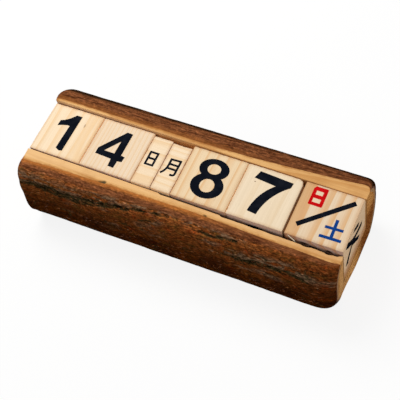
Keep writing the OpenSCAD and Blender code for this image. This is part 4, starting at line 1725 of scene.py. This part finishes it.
def turns_left(outline):
    """Whether an outline runs round its area to the left."""
    after = outline[1:] + outline[:1]
    return sum(a[0] * b[1] - b[0] * a[1] for a, b in zip(outline, after)) > 0


def flat_shape(mark):
    """The inked area of a mark: points, triangles, and the edges along its border."""
    ink, holes = mark
    points, loops = [], []
    for outline in ink + holes:
        loops.append(list(range(len(points), len(points) + len(outline))))
        points.extend(Vector(p) for p in (outline if turns_left(outline) else outline[::-1]))
    found = delaunay_2d_cdt(points, [], loops, 1, 1e-5)
    inks = set(range(len(ink)))
    faces = zip(found[2], found[5])
    triangles = [tuple(face) for face, origins in faces if origins and inks.issuperset(origins)]
    ways = {(face[k], face[(k + 1) % 3]) for face in triangles for k in range(3)}
    return found[0], triangles, [(a, b) for a, b in ways if (b, a) not in ways]


def print_marks(name, block, prints, settings, material):
    """Marks of one colour on one block: closed solids that stand out of the wood by the ink's thickness."""
    low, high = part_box(block)
    middle, half = (low + high) / 2, (high - low) / 2
    points, faces = [], []
    for mark, face in prints:
        right, up, normal = (Vector(way) for way in FACES[face])
        origin = middle + Vector([n * h for n, h in zip(normal, half)])
        flat, triangles, border = flat_shape(mark)
        start, count = len(points), len(flat)
        for level in (settings.proud, -settings.sunk):
            points.extend(origin + right * (u * MM) + up * (v * MM) + normal * level for u, v in flat)
        faces.extend(tuple(start + i for i in triangle) for triangle in triangles)
        faces.extend(tuple(start + count + i for i in triangle[::-1]) for triangle in triangles)
        faces.extend((start + b, start + a, start + count + a, start + count + b) for a, b in border)
    made = add_object(name, mesh_from(name, points, faces), [material])
    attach(made, block)
    return made


# ----------------------------------------------------------
# Splinter
# ----------------------------------------------------------

# A sliver that has lifted from the lower front edge of the weekday cube, as places from the cube's left front
# top corner, in millimetres.
SLIVER_ROUTE = [(2.7, -0.25, -0.6), (4.7, -0.60, -2.0), (6.2, -1.00, -2.9), (7.4, -1.40, -3.4)]
SLIVER_WIDTH = 1.3 * MM
SLIVER_SECTIONS = 14


def make_splinter(material):
    """A thin curled sliver of pine on the front of the weekday cube."""
    low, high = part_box(WEEKDAY)
    corner = Vector((low.x, low.y, high.z))
    route = np.array(SLIVER_ROUTE)
    places = np.linspace(0, len(route) - 1, SLIVER_SECTIONS)
    line = np.stack([np.interp(places, range(len(route)), route[:, k]) for k in range(3)], axis=1)
    line = smoothed(line, 1.5, axis=0)
    points, faces = [], []
    for index, place in enumerate(line):
        share = index / (SLIVER_SECTIONS - 1)
        half = SLIVER_WIDTH * math.sqrt(max(0.02, math.sin(math.pi * (0.08 + 0.84 * share)))) / 2
        for side, depth in ((1, 0.0), (0, 0.28), (-1, 0.0), (0, -0.28)):
            offset = Vector((side * half * 0.75, depth * half, side * half * 0.65))
            points.append(corner + Vector(place) * MM + offset)
        if index:
            start = 4 * (index - 1)
            faces.extend(
                (start + k, start + (k + 1) % 4, start + 4 + (k + 1) % 4, start + 4 + k) for k in range(4)
            )
    faces.extend([(0, 1, 2, 3), tuple(range(4 * SLIVER_SECTIONS - 4, 4 * SLIVER_SECTIONS))])
    mesh = mesh_from("weekday_splinter", points, faces)
    mesh.shade_smooth()
    made = add_object("weekday_splinter", mesh, [material])
    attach(made, WEEKDAY)
    return made


# ----------------------------------------------------------
# Stage
# ----------------------------------------------------------

FLOOR_SIZE = 4.0
FLOOR_DROP = 0.2 * MM
FRAME_WIDTH = 36.0
LAMP_TARGET = (0.0, 0.0, 0.03)

# The floor and the background are plain white, and the floor throws little light up.
WHITE = (1.0, 1.0, 1.0, 1.0)
DIM_FLOOR = (0.4, 0.4, 0.4, 1.0)


def unlit_rays(tree):
    """1 for rays that see the background itself, and 0 for rays that carry light."""
    path = step(tree, "ShaderNodeLightPath").outputs
    camera, glossy, through = (Field(path[f"Is {kind} Ray"]) for kind in ("Camera", "Glossy", "Transmission"))
    return calc("MAXIMUM", calc("MAXIMUM", camera, glossy), through)


def floor_finish(shade):
    """A white floor that is bright by itself, and lets a share of its white take shadows."""
    material, tree, shader = new_material("Floor", "ShaderNodeMixShader")
    dim = field(tree, "ShaderNodeBsdfDiffuse", {"Color": DIM_FLOOR})
    white = field(tree, "ShaderNodeBsdfDiffuse", {"Color": WHITE})
    glow = field(tree, "ShaderNodeEmission", {"Color": WHITE, "Strength": 1.0})
    seen = field(tree, "ShaderNodeMixShader", {"Fac": 1.0 - shade, 1: white, 2: glow})
    fill(shader, {"Fac": unlit_rays(tree), 1: dim, 2: seen})
    return material


def set_world(ambient):
    """Even light from all round, and plain white where it is seen."""
    world = bpy.data.worlds.new("Studio")
    world.use_nodes = True
    tree = world.node_tree
    tree.nodes.clear()
    dim, plain = (
        field(tree, "ShaderNodeBackground", {"Color": WHITE, "Strength": light}) for light in (ambient, 1.0)
    )
    both = field(tree, "ShaderNodeMixShader", {"Fac": unlit_rays(tree), 1: dim, 2: plain})
    step(tree, "ShaderNodeOutputWorld", {"Surface": both})
    bpy.context.scene.world = world


def add_lamp(name, place, target, size, power, tint=(1.0, 1.0, 1.0)):
    """A square soft lamp that looks at a target."""
    light = bpy.data.lights.new(name, "AREA")
    light.shape = "SQUARE"
    light.size = size
    light.energy = power
    light.color = tint
    lamp = bpy.data.objects.new(name, light)
    way = Vector(target) - Vector(place)
    lamp.matrix_world = Matrix.Translation(place) @ way.to_track_quat("-Z", "Y").to_matrix().to_4x4()
    bpy.context.scene.collection.objects.link(lamp)
    return lamp


def add_camera(settings):
    """The camera, from its direction, its roll and its distance to the target."""
    turn, lift, roll = settings.azimuth, settings.elevation, settings.roll
    away = Vector((math.sin(turn) * math.cos(lift), -math.cos(turn) * math.cos(lift), math.sin(lift)))
    level = Vector((math.cos(turn), math.sin(turn), 0.0))
    upright = away.cross(level)
    right = math.cos(roll) * level + math.sin(roll) * upright
    up = math.cos(roll) * upright - math.sin(roll) * level
    turned = Matrix((right, up, away)).transposed().to_4x4()
    data = bpy.data.cameras.new("Camera")
    data.sensor_width = FRAME_WIDTH
    data.lens = settings.lens
    data.clip_start = 0.01
    camera = bpy.data.objects.new("Camera", data)
    camera.matrix_world = Matrix.Translation(Vector(settings.target) + settings.distance * away) @ turned
    bpy.context.scene.collection.objects.link(camera)
    bpy.context.scene.camera = camera


# ----------------------------------------------------------
# Operators
# ----------------------------------------------------------


def log_shape(scene):
    """The sections of the log, at the spacing that the user set."""
    return LogShape(scene.calendar_log.section_step, scene.calendar_bark.profile_step)


class CALENDAR_OT_log(bpy.types.Operator):
    """Makes the sawn wood of the log"""

    bl_idname = "calendar.log"
    bl_label = "Log"

    def execute(self, context):
        scene = context.scene
        make_log_wood(log_shape(scene), scene.calendar_log)
        return {"FINISHED"}


class CALENDAR_OT_bark(bpy.types.Operator):
    """Makes the bark on both sides of the log, with its loose chips"""

    bl_idname = "calendar.bark"
    bl_label = "Bark"

    def execute(self, context):
        scene = context.scene
        settings = scene.calendar_bark
        shape = log_shape(scene)
        bark = bark_finish(settings)
        finishes = {"bark": bark, "cut": cut_bark_finish(settings), "chips": chip_finish(settings)}
        for side in (FRONT, BACK):
            make_bark(side, shape, settings, finishes)
        return {"FINISHED"}


class CALENDAR_OT_blocks(bpy.types.Operator):
    """Makes the seven loose blocks, and the splinter on the weekday cube"""

    bl_idname = "calendar.blocks"
    bl_label = "Blocks"

    def execute(self, context):
        for seed, name in enumerate(BLOCKS):
            make_block(name, seed, context.scene.calendar_blocks)
        make_splinter(splinter_finish())
        return {"FINISHED"}


class CALENDAR_OT_marks(bpy.types.Operator):
    """Prints the numbers and the plain marks of day, month and weekday"""

    bl_idname = "calendar.marks"
    bl_label = "Marks"

    def execute(self, context):
        settings = context.scene.calendar_ink
        black = ink_finish("Blue-black ink", tuple(settings.black))
        for block, faces in NUMBERS.items():
            prints = [(DIGITS[digit], face) for face, digit in faces.items()]
            print_marks(block + "_numbers", block, prints, settings, black)
        for tile, mark in zip(TILES, (DAY, MONTH)):
            print_marks(tile + "_mark", tile, [(mark, "top")], settings, black)
        prints = [(mark, face) for face, mark in WEEKDAYS.items()]
        print_marks("weekday_marks", WEEKDAY, prints + [(SLASH, "top")], settings, black)
        red = ink_finish("Red ink", tuple(settings.red))
        print_marks("weekday_sunday_mark", WEEKDAY, [(SUNDAY, "top")], settings, red)
        blue = ink_finish("Blue ink", tuple(settings.blue))
        print_marks("weekday_saturday_mark", WEEKDAY, [(SATURDAY, "top")], settings, blue)
        return {"FINISHED"}


class CALENDAR_OT_stage(bpy.types.Operator):
    """Sets the floor, the lamps, the world and the camera"""

    bl_idname = "calendar.stage"
    bl_label = "Stage"

    def execute(self, context):
        scene = context.scene
        settings = scene.calendar_stage
        scene.view_settings.view_transform = "Standard"
        half = FLOOR_SIZE / 2
        corners = [(x, y, -FLOOR_DROP) for x, y in bar(-half, half, -half, half)]
        mesh = bpy.data.meshes.new("floor")
        mesh.from_pydata(corners, [], [(0, 1, 2, 3)])
        add_object("floor", mesh, [floor_finish(settings.floor_shade)])
        set_world(settings.ambient)
        add_lamp("Key lamp", (-0.35, 0.25, 0.75), LAMP_TARGET, 0.5, settings.key_power, (1.0, 0.985, 0.96))
        add_lamp("Side lamp", (0.65, -0.45, 0.30), LAMP_TARGET, 0.35, settings.side_power)
        add_camera(settings)
        return {"FINISHED"}


class CALENDAR_PT_panel(bpy.types.Panel):
    """Settings and steps of the desk calendar"""

    bl_idname = "CALENDAR_PT_panel"
    bl_label = "Desk calendar"
    bl_space_type = "VIEW_3D"
    bl_region_type = "UI"
    bl_category = "Desk calendar"

    def draw(self, context):
        for name, steps in PANEL_ROWS.items():
            box = self.layout.box()
            settings = getattr(context.scene, name)
            for key in settings.__annotations__:
                box.prop(settings, key)
            for operator in steps:
                box.operator(operator.bl_idname)


SETTINGS = {
    "calendar_log": LogSettings,
    "calendar_bark": BarkSettings,
    "calendar_blocks": BlockSettings,
    "calendar_ink": InkSettings,
    "calendar_stage": StageSettings,
}
PANEL_ROWS = {
    "calendar_log": [CALENDAR_OT_log],
    "calendar_bark": [CALENDAR_OT_bark],
    "calendar_blocks": [CALENDAR_OT_blocks],
    "calendar_ink": [CALENDAR_OT_marks],
    "calendar_stage": [CALENDAR_OT_stage],
}
STEPS = [operator for row in PANEL_ROWS.values() for operator in row]


def register():
    """Registers the settings, the operators and the panel."""
    for name, group in SETTINGS.items():
        bpy.utils.register_class(group)
        setattr(bpy.types.Scene, name, PointerProperty(type=group))
    for operator in STEPS:
        bpy.utils.register_class(operator)
    bpy.utils.register_class(CALENDAR_PT_panel)


def unregister():
    """Takes the panel, the operators and the settings away again."""
    bpy.utils.unregister_class(CALENDAR_PT_panel)
    for operator in reversed(STEPS):
        bpy.utils.unregister_class(operator)
    for name, group in reversed(SETTINGS.items()):
        delattr(bpy.types.Scene, name)
        bpy.utils.unregister_class(group)


def main():
    """Makes the whole scene."""
    register()
    bpy.ops.calendar.log()
    bpy.ops.calendar.bark()
    bpy.ops.calendar.blocks()
    bpy.ops.calendar.marks()
    bpy.ops.calendar.stage()


if __name__ == "__main__":
    main()
